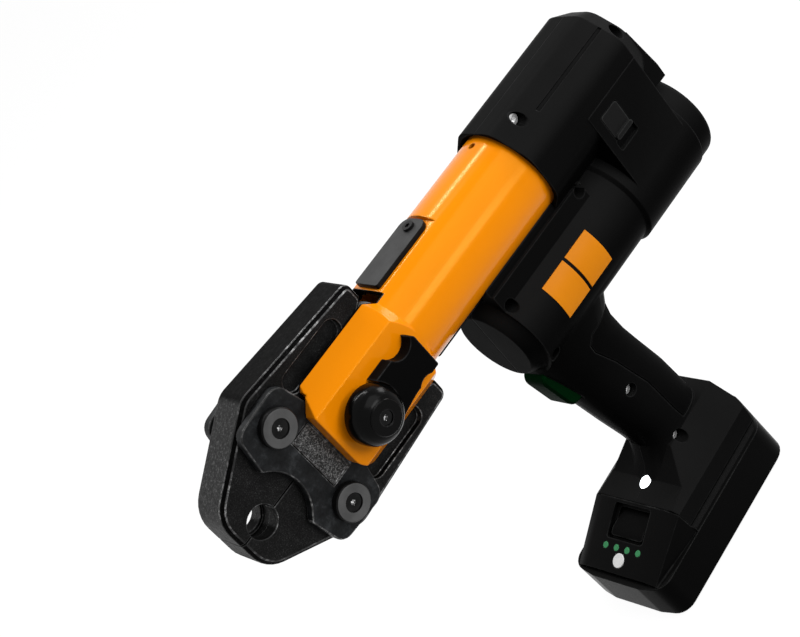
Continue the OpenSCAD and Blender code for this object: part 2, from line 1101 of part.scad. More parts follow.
module eccentric_room() {
    rod_x(block_x - shaft_in_pump, block_x + over, shaft_d + 2 * run_gap);
    rod_x(block_x - eccentric_sink - eccentric_t - eccentric_room, block_x + over,
        eccentric_d + 2 * eccentric_shift + 2 * eccentric_room);
}

module pump_block() {
    color("silver")
        difference() {
            drive() {
                box([block_x - pump_l, -pump_w / 2, motor_z - pump_low],
                    [block_x, pump_w / 2, press_z + pump_top]);
                translate([0, 0, press_z])
                    rod_x(block_x - pump_flange_t, block_x, tail_d);
            }
            at_motor()
                eccentric_room();
        }
}

module eccentric_shaft() {
    color("dimgray")
        at_motor() {
            rod_x(block_x - shaft_in_pump, block_x + gear_l / 2, shaft_d);
            translate([0, 0, eccentric_shift])
                rod_x(block_x - eccentric_sink - eccentric_t, block_x - eccentric_sink, eccentric_d);
        }
}

module gearbox() {
    color("gray")
        at_motor()
            difference() {
                union() {
                    rod_x(block_x, block_x + gear_l - gear_bevel, motor_d);
                    rod_x(block_x, block_x + gear_l, motor_d - 2 * gear_bevel);
                }
                rod_x(block_x - over, block_x + gear_l + over, shaft_d + 2 * run_gap);
            }
}

module motor_can() {
    front = block_x + gear_l + motor_l;
    color("darkslategray")
        at_motor()
            difference() {
                rod_x(block_x + gear_l, front, motor_d);
                rod_x(block_x + gear_l + can_wall, front - can_wall, motor_d - 2 * can_wall);
                rod_x(block_x, front + over, shaft_d + 2 * run_gap);
            }
}

module motor_rotor() {
    front = block_x + gear_l + motor_l;
    fan_x = front + fan_gap;
    color("peru")
        at_motor() {
            rod_x(block_x + gear_l / 2 + slide_gap, fan_x + fan_t, shaft_d);
            rod_x(block_x + gear_l + can_wall + rotor_end_gap, front - can_wall - rotor_end_gap,
                motor_d - 2 * can_wall - 2 * rotor_gap);
            rod_x(fan_x, fan_x + fan_t, fan_hub_d);
            for (i = [0 : fan_blades - 1])
                rotate([360 * i / fan_blades, 0, 0])
                    box([fan_x + fan_blade_inset, -fan_blade_t / 2, 0],
                        [fan_x + fan_t - fan_blade_inset, fan_blade_t / 2, fan_d / 2]);
        }
}

// Housing
function octagon(w) = [for (i = [0 : 7]) w / 2 / cos(22.5) * [cos(45 * i + 22.5), sin(45 * i + 22.5)]];

module head_shell() {
    stations = [[head_rear_x, head_end_w], [head_taper_x, head_w], [rim_x, head_w]];
    loft([for (s = stations)
        [for (q = rounded_all(octagon(s[1]), head_r)) [s[0], q.x, press_z + q.y]]]);
}

// Sections of the handle as shares: height of handle_h, front and rear of handle_d, width of handle_w
handle_shares = [
    [0, 0.16, -1.12, 1.15],
    [0.06, 0.04, -1.07, 1.04],
    [0.14, -0.06, -1.03, 1],
    [0.22, -0.02, -1.02, 1],
    [0.37, 0.08, -0.98, 1],
    [0.52, 0.17, -0.9, 1],
    [0.64, 0.24, -0.84, 1.03],
    [0.74, 0.32, -0.82, 1.1],
    [0.82, 0.39, -0.86, 1.22],
    [0.91, 0.43, -1, 1.4],
    [1, 0.4, -1.16, 1.5]
];

function power_sign(v) = sign(v) * pow(abs(v), 2 / handle_power);

function handle_ring(share, shrink) =
    let (
        mid = handle_d * (share[1] + share[2]) / 2,
        deep = handle_d * (share[1] - share[2]) / 2 - shrink,
        wide = handle_w * share[3] / 2 - shrink
    )
    [for (k = [0 : handle_sides - 1])
        let (a = 360 * k / handle_sides)
        [mid + deep * power_sign(cos(a)), wide * power_sign(sin(a)), handle_low + handle_h * share[0]]];

module handle_loft(shrink) {
    loft([for (share = handle_shares) handle_ring(share, shrink)]);
}

// Shallow grooves along the two upper slanting faces of the head
module head_grooves() {
    for (turn = [-45, 45])
        rotate([turn, 0, 0])
            box([head_taper_x, -head_groove_w / 2, head_w / 2 - head_groove_t],
                [head_groove_front_x, head_groove_w / 2, head_w]);
}

module nose_cap() {
    depth = nose_front_x - barrel_front_x;
    profile = [
        [0, -over],
        [barrel_d / 2 - nose_step, -over],
        [barrel_d / 2 - nose_step, 0],
        [nose_neck_d / 2, nose_neck_l],
        [nose_rim_d / 2, depth - nose_rim_round],
        [nose_rim_d / 2 - nose_rim_round, depth],
        [0, depth]
    ];
    translate([barrel_front_x, 0, motor_z])
        rotate([0, 90, 0])
            rotate_extrude()
                polygon(profile);
}

module motor_shell() {
    translate([0, 0, motor_z]) {
        rod_x(block_front_x - over, barrel_front_x, barrel_d);
        rod_x(cap_front_x, block_front_x - block_edge, block_d);
        translate([block_front_x - block_edge, 0, 0])
            rotate([0, 90, 0])
                cylinder(h = block_edge, d1 = block_d, d2 = block_d - 2 * block_edge);
    }
    nose_cap();
    box([head_taper_x, -panel_half, motor_z], [panel_front_x, panel_half, press_z]);
    for (step = [[bridge_half, bridge_low_drop], [bridge_half - bridge_ledge, bridge_top_drop]])
        box([bridge_rear_x, -step[0], motor_z], [barrel_front_x, step[0], press_z - step[1]]);
    slab(-head_end_w / 2, head_end_w / 2)
        polygon([
            [head_taper_x, motor_z + cap_top_drop],
            [web_rear_x, motor_z + cap_top_drop],
            [web_rear_x, motor_z + cap_top_drop + web_rise],
            [head_rear_x, press_z + web_top_drop],
            [head_taper_x, press_z + web_top_drop]
        ]);
}

module foot_shell() {
    side = [
        [foot_back_low_x, seam_h + seam_gap],
        [foot_front_x, seam_h + seam_gap],
        [foot_front_x, foot_front_h],
        [foot_deck_x, foot_deck_h],
        [foot_deck_x - foot_slope_l, foot_ridge_h],
        [foot_back_x, foot_ridge_h],
        [foot_back_x, foot_edge_h]
    ];
    front = [
        [foot_side_w / 2, seam_h],
        [foot_edge_w / 2, foot_edge_h],
        [foot_crown_w / 2, foot_crown_h],
        [foot_ridge_w / 2, foot_ridge_h],
        [-foot_ridge_w / 2, foot_ridge_h],
        [-foot_crown_w / 2, foot_crown_h],
        [-foot_edge_w / 2, foot_edge_h],
        [-foot_side_w / 2, seam_h]
    ];
    intersection() {
        slab(-battery_w, battery_w)
            polygon(side);
        along_x(-battery_l, battery_l)
            polygon(front);
        linear_extrude(press_z)
            polygon(battery_plan(0));
    }
}

module rail_section(grow) {
    polygon([
        [-rail_neck_w / 2 - grow, seam_h - over],
        [rail_neck_w / 2 + grow, seam_h - over],
        [rail_neck_w / 2 + grow, rail_neck_h - grow],
        [rail_w / 2 + grow, rail_neck_h - grow],
        [rail_w / 2 + grow, rail_h + grow],
        [-rail_w / 2 - grow, rail_h + grow],
        [-rail_w / 2 - grow, rail_neck_h - grow],
        [-rail_neck_w / 2 - grow, rail_neck_h - grow]
    ]);
}

// Screw places on the left half, along X, across Y and up Z
// On the head, as shares of its length behind the rim and of head_w: one above the cylinder's tail
// and one behind the pump
head_l = rim_x - head_rear_x;
head_screw_shares = [
    [-0.17, 0.22],
    [-0.95, 0.22]
];
pump_screw_share = 0.23;
head_screw_rises = [(tail_d + screw_shank_d) / 2 + tail_gap, pump_screw_share * head_w];
// On the barrel, as shares of barrel_d behind its front and about its axis
barrel_screw_shares = [
    [-0.08, 0.17, 0.36],
    [-0.08, 0.2, -0.28],
    [-1.3, 0.16, 0.48]
];
// On the handle, as shares of handle_d, handle_w and handle_h
handle_screw_shares = [
    [-0.28, 0.37, 0.46],
    [-0.38, 0.37, 0.1]
];
housing_screw_places = concat(
    [for (i = [0, 1])
        let (s = head_screw_shares[i])
        [rim_x + s.x * head_l, s.y * head_w, press_z + head_screw_rises[i]]],
    [for (s = barrel_screw_shares)
        [barrel_front_x + s.x * barrel_d, s.y * barrel_d, motor_z + s.z * barrel_d]],
    [for (s = handle_screw_shares)
        [s.x * handle_d, s.y * handle_w, handle_low + s.z * handle_h]]
);

module housing_screw_holes() {
    for (place = housing_screw_places)
        drive()
            translate(place)
                face_left()
                    screw_hole(boss_d, screw_head_t, screw_shank_d + 2 * run_gap,
                        place.y - screw_head_t - screw_tail_y, battery_w);
}

// Outline of the soft grip seen from the side, as shares of handle_d and handle_h
grip_shares = [
    [-1.32, 0.135],
    [-0.59, 0.135],
    [-0.56, 0.2],
    [-0.51, 0.41],
    [-0.35, 0.62],
    [-0.21, 0.74],
    [-0.2, 0.79],
    [-0.31, 0.825],
    [-1.32, 0.825]
];

module grip_zone(groove) {
    outline = [for (s = grip_shares) [s.x * handle_d, handle_low + s.y * handle_h]];
    difference() {
        slab(-battery_w, battery_w)
            polygon(inset(outline, groove));
        handle_loft(grip_t);
    }
}

function trigger_points(shift) = [
    [trigger_low_x - trigger_depth + shift, trigger_low_z],
    [trigger_low_x + shift, trigger_low_z],
    [trigger_top_x + shift, trigger_top_z],
    [trigger_low_x - trigger_depth + shift, trigger_top_z]
];

module trigger_room() {
    back = trigger_low_x - trigger_depth;
    half = trigger_w / 2;
    slab(-half - slide_gap, half + slide_gap)
        polygon([
            [back - trigger_travel - slide_gap, trigger_low_z - slide_gap],
            [nose_front_x + over, trigger_low_z - slide_gap],
            [nose_front_x + over, trigger_top_z + slide_gap],
            [back - trigger_travel - slide_gap, trigger_top_z + slide_gap]
        ]);
    slab(-half - trigger_flange - slide_gap, half + trigger_flange + slide_gap)
        polygon(box_points(back - trigger_travel - slide_gap, trigger_low_z - slide_gap,
            back + trigger_flange_t + slide_gap, trigger_top_z + slide_gap));
}

module switch_box(grow) {
    back = trigger_low_x - trigger_depth - trigger_travel - slide_gap;
    box([back - switch_l - grow, -switch_w / 2 - grow, switch_z - switch_h / 2 - grow],
        [back, switch_w / 2 + grow, switch_z + switch_h / 2 + grow]);
}

module reset_places(low_y, high_y, l, h, drop = 0) {
    translate([reset_x, 0, press_z - reset_drop - drop])
        slab(low_y, high_y)
            polygon(rounded_all(box_points(-l / 2, -h / 2, l / 2, h / 2), reset_r));
}

module reset_room() {
    flange_y = panel_half - reset_dish_t - reset_flange_t;
    reset_places(panel_half - reset_dish_t, panel_half + over, reset_dish_l, reset_dish_h,
        (reset_h + reset_dish_h) / 2);
    reset_places(pump_w / 2 - over, panel_half, reset_l + 2 * slide_gap, reset_h + 2 * slide_gap);
    reset_places(pump_w / 2 - over, flange_y + slide_gap, reset_l + 2 * reset_flange + 2 * slide_gap,
        reset_h + 2 * reset_flange + 2 * slide_gap);
}

module strip_room() {
    deep = strip_seat_h + strip_t + strip_head_t + slide_gap;
    half = strip_w / 2 + slide_gap;
    box([mouth_x - strip_rear_back - slide_gap, -half, press_z - deep],
        [barrel_front_x + over, half, press_z]);
}

module housing_outer() {
    drive() {
        head_shell();
        motor_shell();
        difference() {
            handle_loft(0);
            grip_zone(0);
        }
    }
    foot_shell();
}

module housing_pockets() {
    drive() {
        translate([0, 0, press_z]) {
            rod_x(block_x - pump_flange_t - wall_gap, mouth_x, tail_d + 2 * wall_gap);
            rod_x(mouth_x - tail_front_back - wall_gap, mouth_x, tube_d + 2 * wall_gap);
            translate([rim_x - rim_dish, 0, 0])
                rotate([0, 90, 0])
                    cylinder(h = rim_dish, d1 = tube_d + 2 * wall_gap, d2 = rim_open_d);
            head_grooves();
        }
        translate([0, 0, motor_z])
            rod_x(block_x, block_x + gear_l + motor_l + fan_gap + fan_t + fan_gap, motor_d + 2 * wall_gap);
        box([block_x - pump_l - wall_gap, -pump_w / 2 - wall_gap, motor_z - pump_low - wall_gap],
            [block_x + wall_gap, pump_w / 2 + wall_gap, press_z + pump_top + wall_gap]);
        translate([0, 0, motor_z])
            rod_x(cap_rear_x - over, cap_front_x, cap_d + 2 * wall_gap);
        strip_room();
        trigger_room();
        switch_box(wall_gap);
        reset_room();
    }
    along_x(rail_rear_x - foot_gap, foot_front_x + over)
        rail_section(foot_gap);
    board_box(wall_gap);
    at_light()
        light_body(wall_gap);
    housing_screw_holes();
}

module board_box(grow) {
    box([board_x - board_l / 2 - grow, -board_w / 2 - grow, board_h - grow],
        [board_x + board_l / 2 + grow, board_w / 2 + grow, board_h + board_t + board_parts_t + grow]);
}

module housing_half() {
    difference() {
        housing_outer();
        housing_pockets();
    }
}

module housing_left() {
    color("black")
        intersection() {
            housing_half();
            box([-2 * battery_l, 0, 0], [2 * battery_l, battery_w, 2 * press_z]);
        }
}

module housing_right() {
    color("black")
        intersection() {
            housing_half();
            box([-2 * battery_l, -battery_w, 0], [2 * battery_l, 0, 2 * press_z]);
        }
}

module rear_cap() {
    r = cap_d / 2;
    depth = cap_front_x - cap_rear_x;
    profile = concat(
        [[0, 0], [r, 0]],
        [for (i = [0 : arc_steps])
            let (a = 90 * i / arc_steps)
            [r - cap_round + cap_round * cos(a), depth - cap_round + cap_round * sin(a)]],
        [[0, depth]]
    );
    color("black")
        drive()
            difference() {
                translate([cap_front_x, 0, motor_z])
                    rotate([0, -90, 0])
                        rotate_extrude()
                            polygon(profile);
                box([cap_rear_x - over, -block_d, motor_z + cap_top_drop],
                    [cap_front_x + over, block_d, press_z]);
            }
}

module soft_grip() {
    color("dimgray")
        difference() {
            drive()
                intersection() {
                    handle_loft(0);
                    grip_zone(grip_groove);
                }
            at_motor()
                rod_x(cap_front_x, barrel_front_x, barrel_d);
            foot_shell();
        }
}

module housing_screws() {
    color("silver")
        for (place = housing_screw_places)
            drive()
                translate(place)
                    face_left()
                        screw(screw_head_d, screw_head_t, screw_shank_d,
                            place.y - screw_head_t - screw_tail_y, drive_d);
}

module label_plates() {
    color("gold")
        at_motor()
            intersection() {
                difference() {
                    rod_x(label_front_x - 2 * label_l - label_gap, label_front_x, barrel_d + 2 * label_t);
                    rod_x(label_front_x - 3 * label_l, label_front_x + over, barrel_d);
                }
                for (i = [0, 1])
                    translate([label_front_x - i * (label_l + label_gap), 0, 0])
                        box([-label_l, 0, -label_low], [0, barrel_d, label_high]);
            }
}

module reset_button() {
    front = panel_half + reset_proud;
    flange_y = panel_half - reset_dish_t - reset_flange_t;
    back = pump_w / 2 + reset_travel + reset_back_gap;
    color("dimgray")
        drive() {
            reset_places(back, front, reset_l, reset_h);
            reset_places(back, front + reset_lip, reset_l, reset_lip_h, (reset_h - reset_lip_h) / 2);
            reset_places(back, flange_y, reset_l + 2 * reset_flange, reset_h + 2 * reset_flange);
        }
}

module trigger() {
    outline = rounded(trigger_points(0), [trigger_tail_r, trigger_r, trigger_r, trigger_tail_r]);
    back = trigger_low_x - trigger_depth;
    half = trigger_w / 2;
    color("darkgreen")
        drive() {
            bevelled_slab(outline, -half, half, trigger_bevel / 2);
            slab(-half - trigger_flange, half + trigger_flange)
                polygon(box_points(back, trigger_low_z, back + trigger_flange_t, trigger_top_z));
        }
}

module trigger_switch() {
    color("dimgray")
        drive()
            switch_box(0);
}

module circuit_board() {
    color("green") {
        box([board_x - board_l / 2, -board_w / 2, board_h],
            [board_x + board_l / 2, board_w / 2, board_h + board_t]);
        for (i = [-1, 0, 1])
            box([board_x + (i - chip_share / 2) * board_l / 4, -board_w / 4, board_h + board_t],
                [board_x + (i + chip_share / 2) * board_l / 4, board_w / 4,
                    board_h + board_t + board_parts_t]);
    }
}

module at_light() {
    translate([light_x, 0, foot_deck_h])
        rotate([0, light_tilt, 0])
            children();
}

module light_body(grow) {
    translate([0, 0, -light_sink - grow])
        cylinder(h = light_sink + grow + over, d = light_d + 2 * grow);
}

module light_lens() {
    color("white")
        at_light()
            translate([0, 0, -light_sink])
                cylinder(h = light_sink - light_rim, d = light_d);
}

// Contact blades of the foot and the terminals that they enter
module at_contacts() {
    for (i = [0 : contact_count - 1])
        translate([rail_rear_x, (i - (contact_count - 1) / 2) * contact_pitch, (rail_neck_h + rail_h) / 2])
            children();
}

module foot_contacts() {
    color("goldenrod") {
        at_contacts()
            box([-foot_gap, -contact_t / 2, -contact_h / 2], [contact_l, contact_t / 2, contact_h / 2]);
    }
}

// Battery
function battery_plan(shrink) =
    let (
        half_l = battery_l / 2 - shrink,
        half_w = battery_w / 2 - shrink,
        bow = battery_bow
    )
    rounded([
        [-half_l, -half_w],
        [half_l, -half_w],
        [half_l + bow, -half_w * plan_bow_share],
        [half_l + bow, half_w * plan_bow_share],
        [half_l, half_w],
        [-half_l, half_w]
    ], [plan_r, plan_front_r, plan_front_r, plan_front_r, plan_front_r, plan_r]);

module at_battery_screws() {
    for (x = [-bat_screw_x, bat_screw_x], y = [-bat_screw_y, bat_screw_y])
        translate([x, y, bat_screw_sink])
            rotate([180, 0, 0])
                children();
}

module battery_screw_holes() {
    at_battery_screws()
        screw_hole(bat_screw_head_d + 2 * run_gap, bat_screw_head_t, bat_screw_d + 2 * run_gap, bat_screw_l,
            over + bat_screw_sink);
}

module cell_room() {
    half_l = cell_count * (cell_d + cell_gap) / 2;
    box([-half_l, -cell_l / 2 - cell_gap, cell_floor], [half_l, cell_l / 2 + cell_gap, tray_h + over]);
}

module battery_tray() {
    rings = [[0, tray_bevel], [tray_bevel, 0], [tray_h, 0]];
    color("black")
        difference() {
            loft([for (s = rings) [for (q = battery_plan(s[1])) [q.x, q.y, s[0]]]]);
            cell_room();
            battery_screw_holes();
        }
}

module front_block() {
    stations = [
        [foot_front_x + block_gap, block_low_w, tray_h, block_rear_w, foot_edge_h,
            block_top_w, foot_front_h],
        [block_front_x2, block_front_w, tray_h, block_edge_w, block_front_h,
            block_front_top_w, block_front_top_h]
    ];
    loft([for (s = stations) [
        [s[0], -s[1] / 2, s[2]],
        [s[0], s[1] / 2, s[2]],
        [s[0], s[3] / 2, s[4]],
        [s[0], s[5] / 2, s[6]],
        [s[0], -s[5] / 2, s[6]],
        [s[0], -s[3] / 2, s[4]]
    ]]);
}

module battery_cover() {
    side = [
        [battery_w / 2, tray_h],
        [battery_w / 2, battery_side_h],
        [foot_side_w / 2, seam_h],
        [-foot_side_w / 2, seam_h],
        [-battery_w / 2, battery_side_h],
        [-battery_w / 2, tray_h]
    ];
    color("black")
        difference() {
            union() {
                intersection() {
                    along_x(-battery_l, foot_front_x + block_gap)
                        polygon(side);
                    linear_extrude(press_z)
                        polygon(battery_plan(0));
                }
                front_block();
                along_x(rail_rear_x, foot_front_x + block_gap + over)
                    rail_section(0);
            }
            at_contacts()
                box([-over, -contact_t / 2 - slide_gap, -contact_h / 2 - slide_gap],
                    [contact_l + slide_gap + terminal_t, contact_t / 2 + slide_gap,
                        contact_h / 2 + slide_gap]);
            at_deck(release_x)
                deck_box(release_dish_l, release_dish_w, -release_dish_t, over, release_r);
            at_deck(release_x)
                deck_box(release_l + 2 * slide_gap, release_w + 2 * slide_gap,
                    -release_sink - release_t - release_travel - slide_gap, over, release_r);
            at_deck(check_x)
                translate([0, 0, check_proud - check_t - check_travel - slide_gap])
                    cylinder(h = check_t + over + check_travel, d = check_d + 2 * slide_gap);
            at_leds()
                translate([0, 0, led_proud - led_t])
                    cylinder(h = led_t + over, d = led_d + 2 * run_gap);
            battery_screw_holes();
        }
}

// Places on the sloping front deck, drawn with +Z along its normal
deck_rise = foot_front_h - block_front_top_h;
deck_run = block_front_x2 - foot_front_x - block_gap;
deck_tilt = atan2(deck_rise, deck_run);

module at_deck(x) {
    translate([x, 0, foot_front_h - (x - foot_front_x - block_gap) * deck_rise / deck_run])
        rotate([0, deck_tilt, 0])
            children();
}

module deck_box(l, w, low, high, r) {
    translate([0, 0, low])
        linear_extrude(high - low)
            polygon(rounded_all(box_points(-l / 2, -w / 2, l / 2, w / 2), r));
}

module at_leds() {
    for (i = [0 : led_count - 1])
        at_deck(led_x)
            translate([0, (i - (led_count - 1) / 2) * led_pitch, 0])
                children();
}

module battery_cells() {
    color("seagreen")
        for (i = [0 : cell_count - 1])
            translate([(i - (cell_count - 1) / 2) * (cell_d + cell_gap), 0, cell_floor + cell_d / 2])
                rod_y(-cell_l / 2, cell_l / 2, cell_d);
}

module battery_terminals() {
    color("goldenrod")
        at_contacts()
            translate([contact_l + slide_gap, 0, 0])
                box([0, -contact_t / 2 - slide_gap, -contact_h / 2 - slide_gap],
                    [terminal_t, contact_t / 2 + slide_gap, contact_h / 2 + slide_gap]);
}

module battery_screws() {
    color("silver")
        at_battery_screws()
            screw(bat_screw_head_d, bat_screw_head_t, bat_screw_d, bat_screw_l, bat_screw_d / 2);
}

module release_button() {
    color("dimgray")
        at_deck(release_x)
            intersection() {
                deck_box(release_l, release_w, -release_sink - release_t, over, release_r);
                slab(-release_w, release_w)
                    polygon([
                        [-release_l, -release_sink - release_t],
                        [release_l, -release_sink - release_t],
                        [release_l, -release_sink],
                        [release_l / 2 - release_lip, -release_sink],
                        [-release_l / 2, -release_sink - release_slope],
                        [-release_l, -release_sink - release_slope]
                    ]);
            }
}

module check_button() {
    color("white")
        at_deck(check_x)
            translate([0, 0, check_proud - check_t])
                cylinder(h = check_t, d = check_d);
}

module charge_leds() {
    color("limegreen")
        at_leds()
            translate([0, 0, led_proud - led_t])
                cylinder(h = led_t, d = led_d);
}

upper_jaw();
lower_jaw();
jaw_plate_left();
jaw_plate_right();
pivot_pins();
pivot_discs();
pivot_screws();
cylinder_fork();
retaining_bolt();
bolt_knob();
knob_screw();
bolt_latch();
guard_strip_top();
guard_strip_bottom();
strip_screws();
ram_rod();
piston();
piston_seal();
return_spring();
roller_carriage();
upper_roller();
lower_roller();
roller_pins();
pump_block();
eccentric_shaft();
gearbox();
motor_can();
motor_rotor();
housing_left();
housing_right();
rear_cap();
soft_grip();
housing_screws();
label_plates();
reset_button();
trigger();
trigger_switch();
circuit_board();
light_lens();
foot_contacts();
battery_tray();
battery_cover();
battery_cells();
battery_terminals();
battery_screws();
release_button();
check_button();
charge_leds();
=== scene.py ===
"""Looks of the cordless press tool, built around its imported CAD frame. Lengths are in metres."""

import math

import bpy
from mathutils import Matrix, Vector


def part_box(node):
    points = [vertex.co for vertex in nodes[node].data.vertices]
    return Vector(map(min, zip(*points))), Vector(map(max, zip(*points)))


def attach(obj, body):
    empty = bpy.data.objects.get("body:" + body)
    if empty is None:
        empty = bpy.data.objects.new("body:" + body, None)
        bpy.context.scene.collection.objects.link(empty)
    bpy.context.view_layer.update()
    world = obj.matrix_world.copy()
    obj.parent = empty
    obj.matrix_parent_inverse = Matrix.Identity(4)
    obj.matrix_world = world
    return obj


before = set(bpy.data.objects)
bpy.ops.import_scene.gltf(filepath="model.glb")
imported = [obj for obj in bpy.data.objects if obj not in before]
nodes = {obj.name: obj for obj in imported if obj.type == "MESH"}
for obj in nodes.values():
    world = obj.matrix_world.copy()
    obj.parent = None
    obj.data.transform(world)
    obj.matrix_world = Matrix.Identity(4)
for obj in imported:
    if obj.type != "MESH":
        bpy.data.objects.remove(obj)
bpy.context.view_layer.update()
MM = 0.001
WHITE = (1.0, 1.0, 1.0, 1.0)
ACROSS, UP = 1, 2

# The press axis: the jaw mouth's centre, and the axis's rise above level
MOUTH = Vector((0.176463, 0.0, 0.268911))
RAKE = math.radians(3.6)

# Camera of the photograph
CAM_PLACE = Vector((0.3273, 0.8038, 0.7712))
CAM_RIGHT = Vector((-0.5315, 0.5816, -0.6160))
CAM_UP = Vector((-0.7964, -0.0960, 0.5974))
CAM_LENS = 82.82
CAM_SENSOR = 36


def make_camera():
    data = bpy.data.cameras.new("camera")
    data.lens = CAM_LENS
    data.sensor_width = CAM_SENSOR
    camera = bpy.data.objects.new("camera", data)
    right = CAM_RIGHT.normalized()
    back = right.cross(CAM_UP).normalized()
    up = back.cross(right)
    turn = Matrix((right, up, back)).transposed()
    camera.matrix_world = Matrix.Translation(CAM_PLACE) @ turn.to_4x4()
    bpy.context.scene.collection.objects.link(camera)
    bpy.context.scene.camera = camera


# Node building
def link(tree, source, target):
    tree.links.new(source, target)


def new_node(tree, kind, **values):
    made = tree.nodes.new(kind)
    for key, value in values.items():
        setattr(made, key, value)
    return made


def noise(tree, where, scale, detail=4.0, rough=0.55):
    """A noise pattern, with its scale in waves per metre."""
    made = new_node(tree, "ShaderNodeTexNoise")
    made.inputs["Scale"].default_value = scale
    made.inputs["Detail"].default_value = detail
    made.inputs["Roughness"].default_value = rough
    link(tree, where, made.inputs["Vector"])
    return made.outputs["Fac"]


def cells(tree, where, scale):
    """A pattern of cells, with its scale in cells per metre."""
    made = new_node(tree, "ShaderNodeTexVoronoi")
    made.inputs["Scale"].default_value = scale
    link(tree, where, made.inputs["Vector"])
    return made.outputs["Distance"]


def ramp(tree, fac, stops):
    """Colours or grey shades at (place, colour) stops."""
    made = new_node(tree, "ShaderNodeValToRGB")
    points = made.color_ramp.elements
    while len(points) < len(stops):
        points.new(0.5)
    for point, (place, value) in zip(points, stops):
        point.position = place
        point.color = (*value, 1.0) if hasattr(value, "__len__") else (value, value, value, 1.0)
    link(tree, fac, made.inputs["Fac"])
    return made.outputs["Color"]


# Sockets of a mix node for colours: its factor, its two colours and its result
MIX_INPUTS = (0, 6, 7)
MIX_OUTPUT = 2


def mixed(tree, fac, a, b):
    """Colour a where the factor is 0, colour b where it is 1."""
    made = new_node(tree, "ShaderNodeMix", data_type="RGBA")
    for socket, value in zip(MIX_INPUTS, (fac, a, b)):
        link(tree, value, made.inputs[socket])
    return made.outputs[MIX_OUTPUT]


def spread(tree, fac, low, high, start=0.0, end=1.0):
    """A value eased from low to high as the factor goes from start to end."""
    made = new_node(tree, "ShaderNodeMapRange", interpolation_type="SMOOTHSTEP")
    for key, value in (("From Min", start), ("From Max", end), ("To Min", low), ("To Max", high)):
        made.inputs[key].default_value = value
    link(tree, fac, made.inputs["Value"])
    return made.outputs["Result"]


def sums(tree, operation, *values):
    """A math node of sockets or numbers, in a shader or a geometry tree."""
    made = new_node(tree, "ShaderNodeMath", operation=operation)
    for socket, value in zip(made.inputs, values):
        if isinstance(value, (int, float)):
            socket.default_value = value
        else:
            link(tree, value, socket)
    return made.outputs[0]


def split(tree, vector):
    made = new_node(tree, "ShaderNodeSeparateXYZ")
    link(tree, vector, made.inputs[0])
    return made.outputs


def distance(tree, a, b):
    squares = [sums(tree, "MULTIPLY", part, part) for part in (a, b)]
    return sums(tree, "SQRT", sums(tree, "ADD", *squares))


def between(tree, value, low, high, soft):
    """1 where a value lies between two limits, with a soft edge."""
    rise = spread(tree, value, 0.0, 1.0, low - soft, low + soft)
    fall = spread(tree, value, 1.0, 0.0, high - soft, high + soft)
    return sums(tree, "MULTIPLY", rise, fall)


def in_box(tree, soft, *spans):
    """1 where each (value, low, high) span holds, with a soft edge."""
    mask, *others = [between(tree, *span, soft) for span in spans]
    for other in others:
        mask = sums(tree, "MULTIPLY", mask, other)
    return mask


def mouth_place(tree, where):
    """Place from the jaw mouth: forwards, to the left and up across the press axis, in millimetres."""
    turned = new_node(tree, "ShaderNodeVectorRotate", rotation_type="Y_AXIS")
    turned.inputs["Center"].default_value = MOUTH
    turned.inputs["Angle"].default_value = RAKE
    link(tree, where, turned.inputs["Vector"])
    moved = new_node(tree, "ShaderNodeVectorMath", operation="SUBTRACT")
    moved.inputs[1].default_value = MOUTH
    link(tree, turned.outputs[0], moved.inputs[0])
    scaled = new_node(tree, "ShaderNodeVectorMath", operation="SCALE")
    scaled.inputs["Scale"].default_value = 1 / MM
    link(tree, moved.outputs[0], scaled.inputs[0])
    return split(tree, scaled.outputs[0])


def bump(tree, height, depth, strength, under):
    """Bump with its depth in millimetres, over an earlier normal if there is one."""
    made = new_node(tree, "ShaderNodeBump")
    made.inputs["Distance"].default_value = depth * MM
    made.inputs["Strength"].default_value = strength
    link(tree, height, made.inputs["Height"])
    if under is not None:
        link(tree, under, made.inputs["Normal"])
    return made.outputs["Normal"]


# The way from which painted light falls on moulded plastics and the trigger, and the way from which painted
# light falls on the jaws' sides, each with the cosines where the painted light starts and is full
PAINTED_LIGHT_WAY = Vector((-0.4, 0.0, 0.9165))
PAINTED_LIGHT_COSINES = (-0.4, 0.75)
JAW_PAINTED_LIGHT_WAY = Vector((0.8, 0.0, 0.6))
JAW_PAINTED_LIGHT_COSINES = (0.7, 0.95)
# Cosines between which a face counts as looking along an axis, and shares of open sky along a convex edge
FACING_COSINES = (0.8, 0.95)
EDGE_SHARES = (0.55, 0.92)
EDGE_SAMPLES = 8
# Places of the two stops that most shades have on their pattern
LOW_STOP = 0.3
HIGH_STOP = 0.7


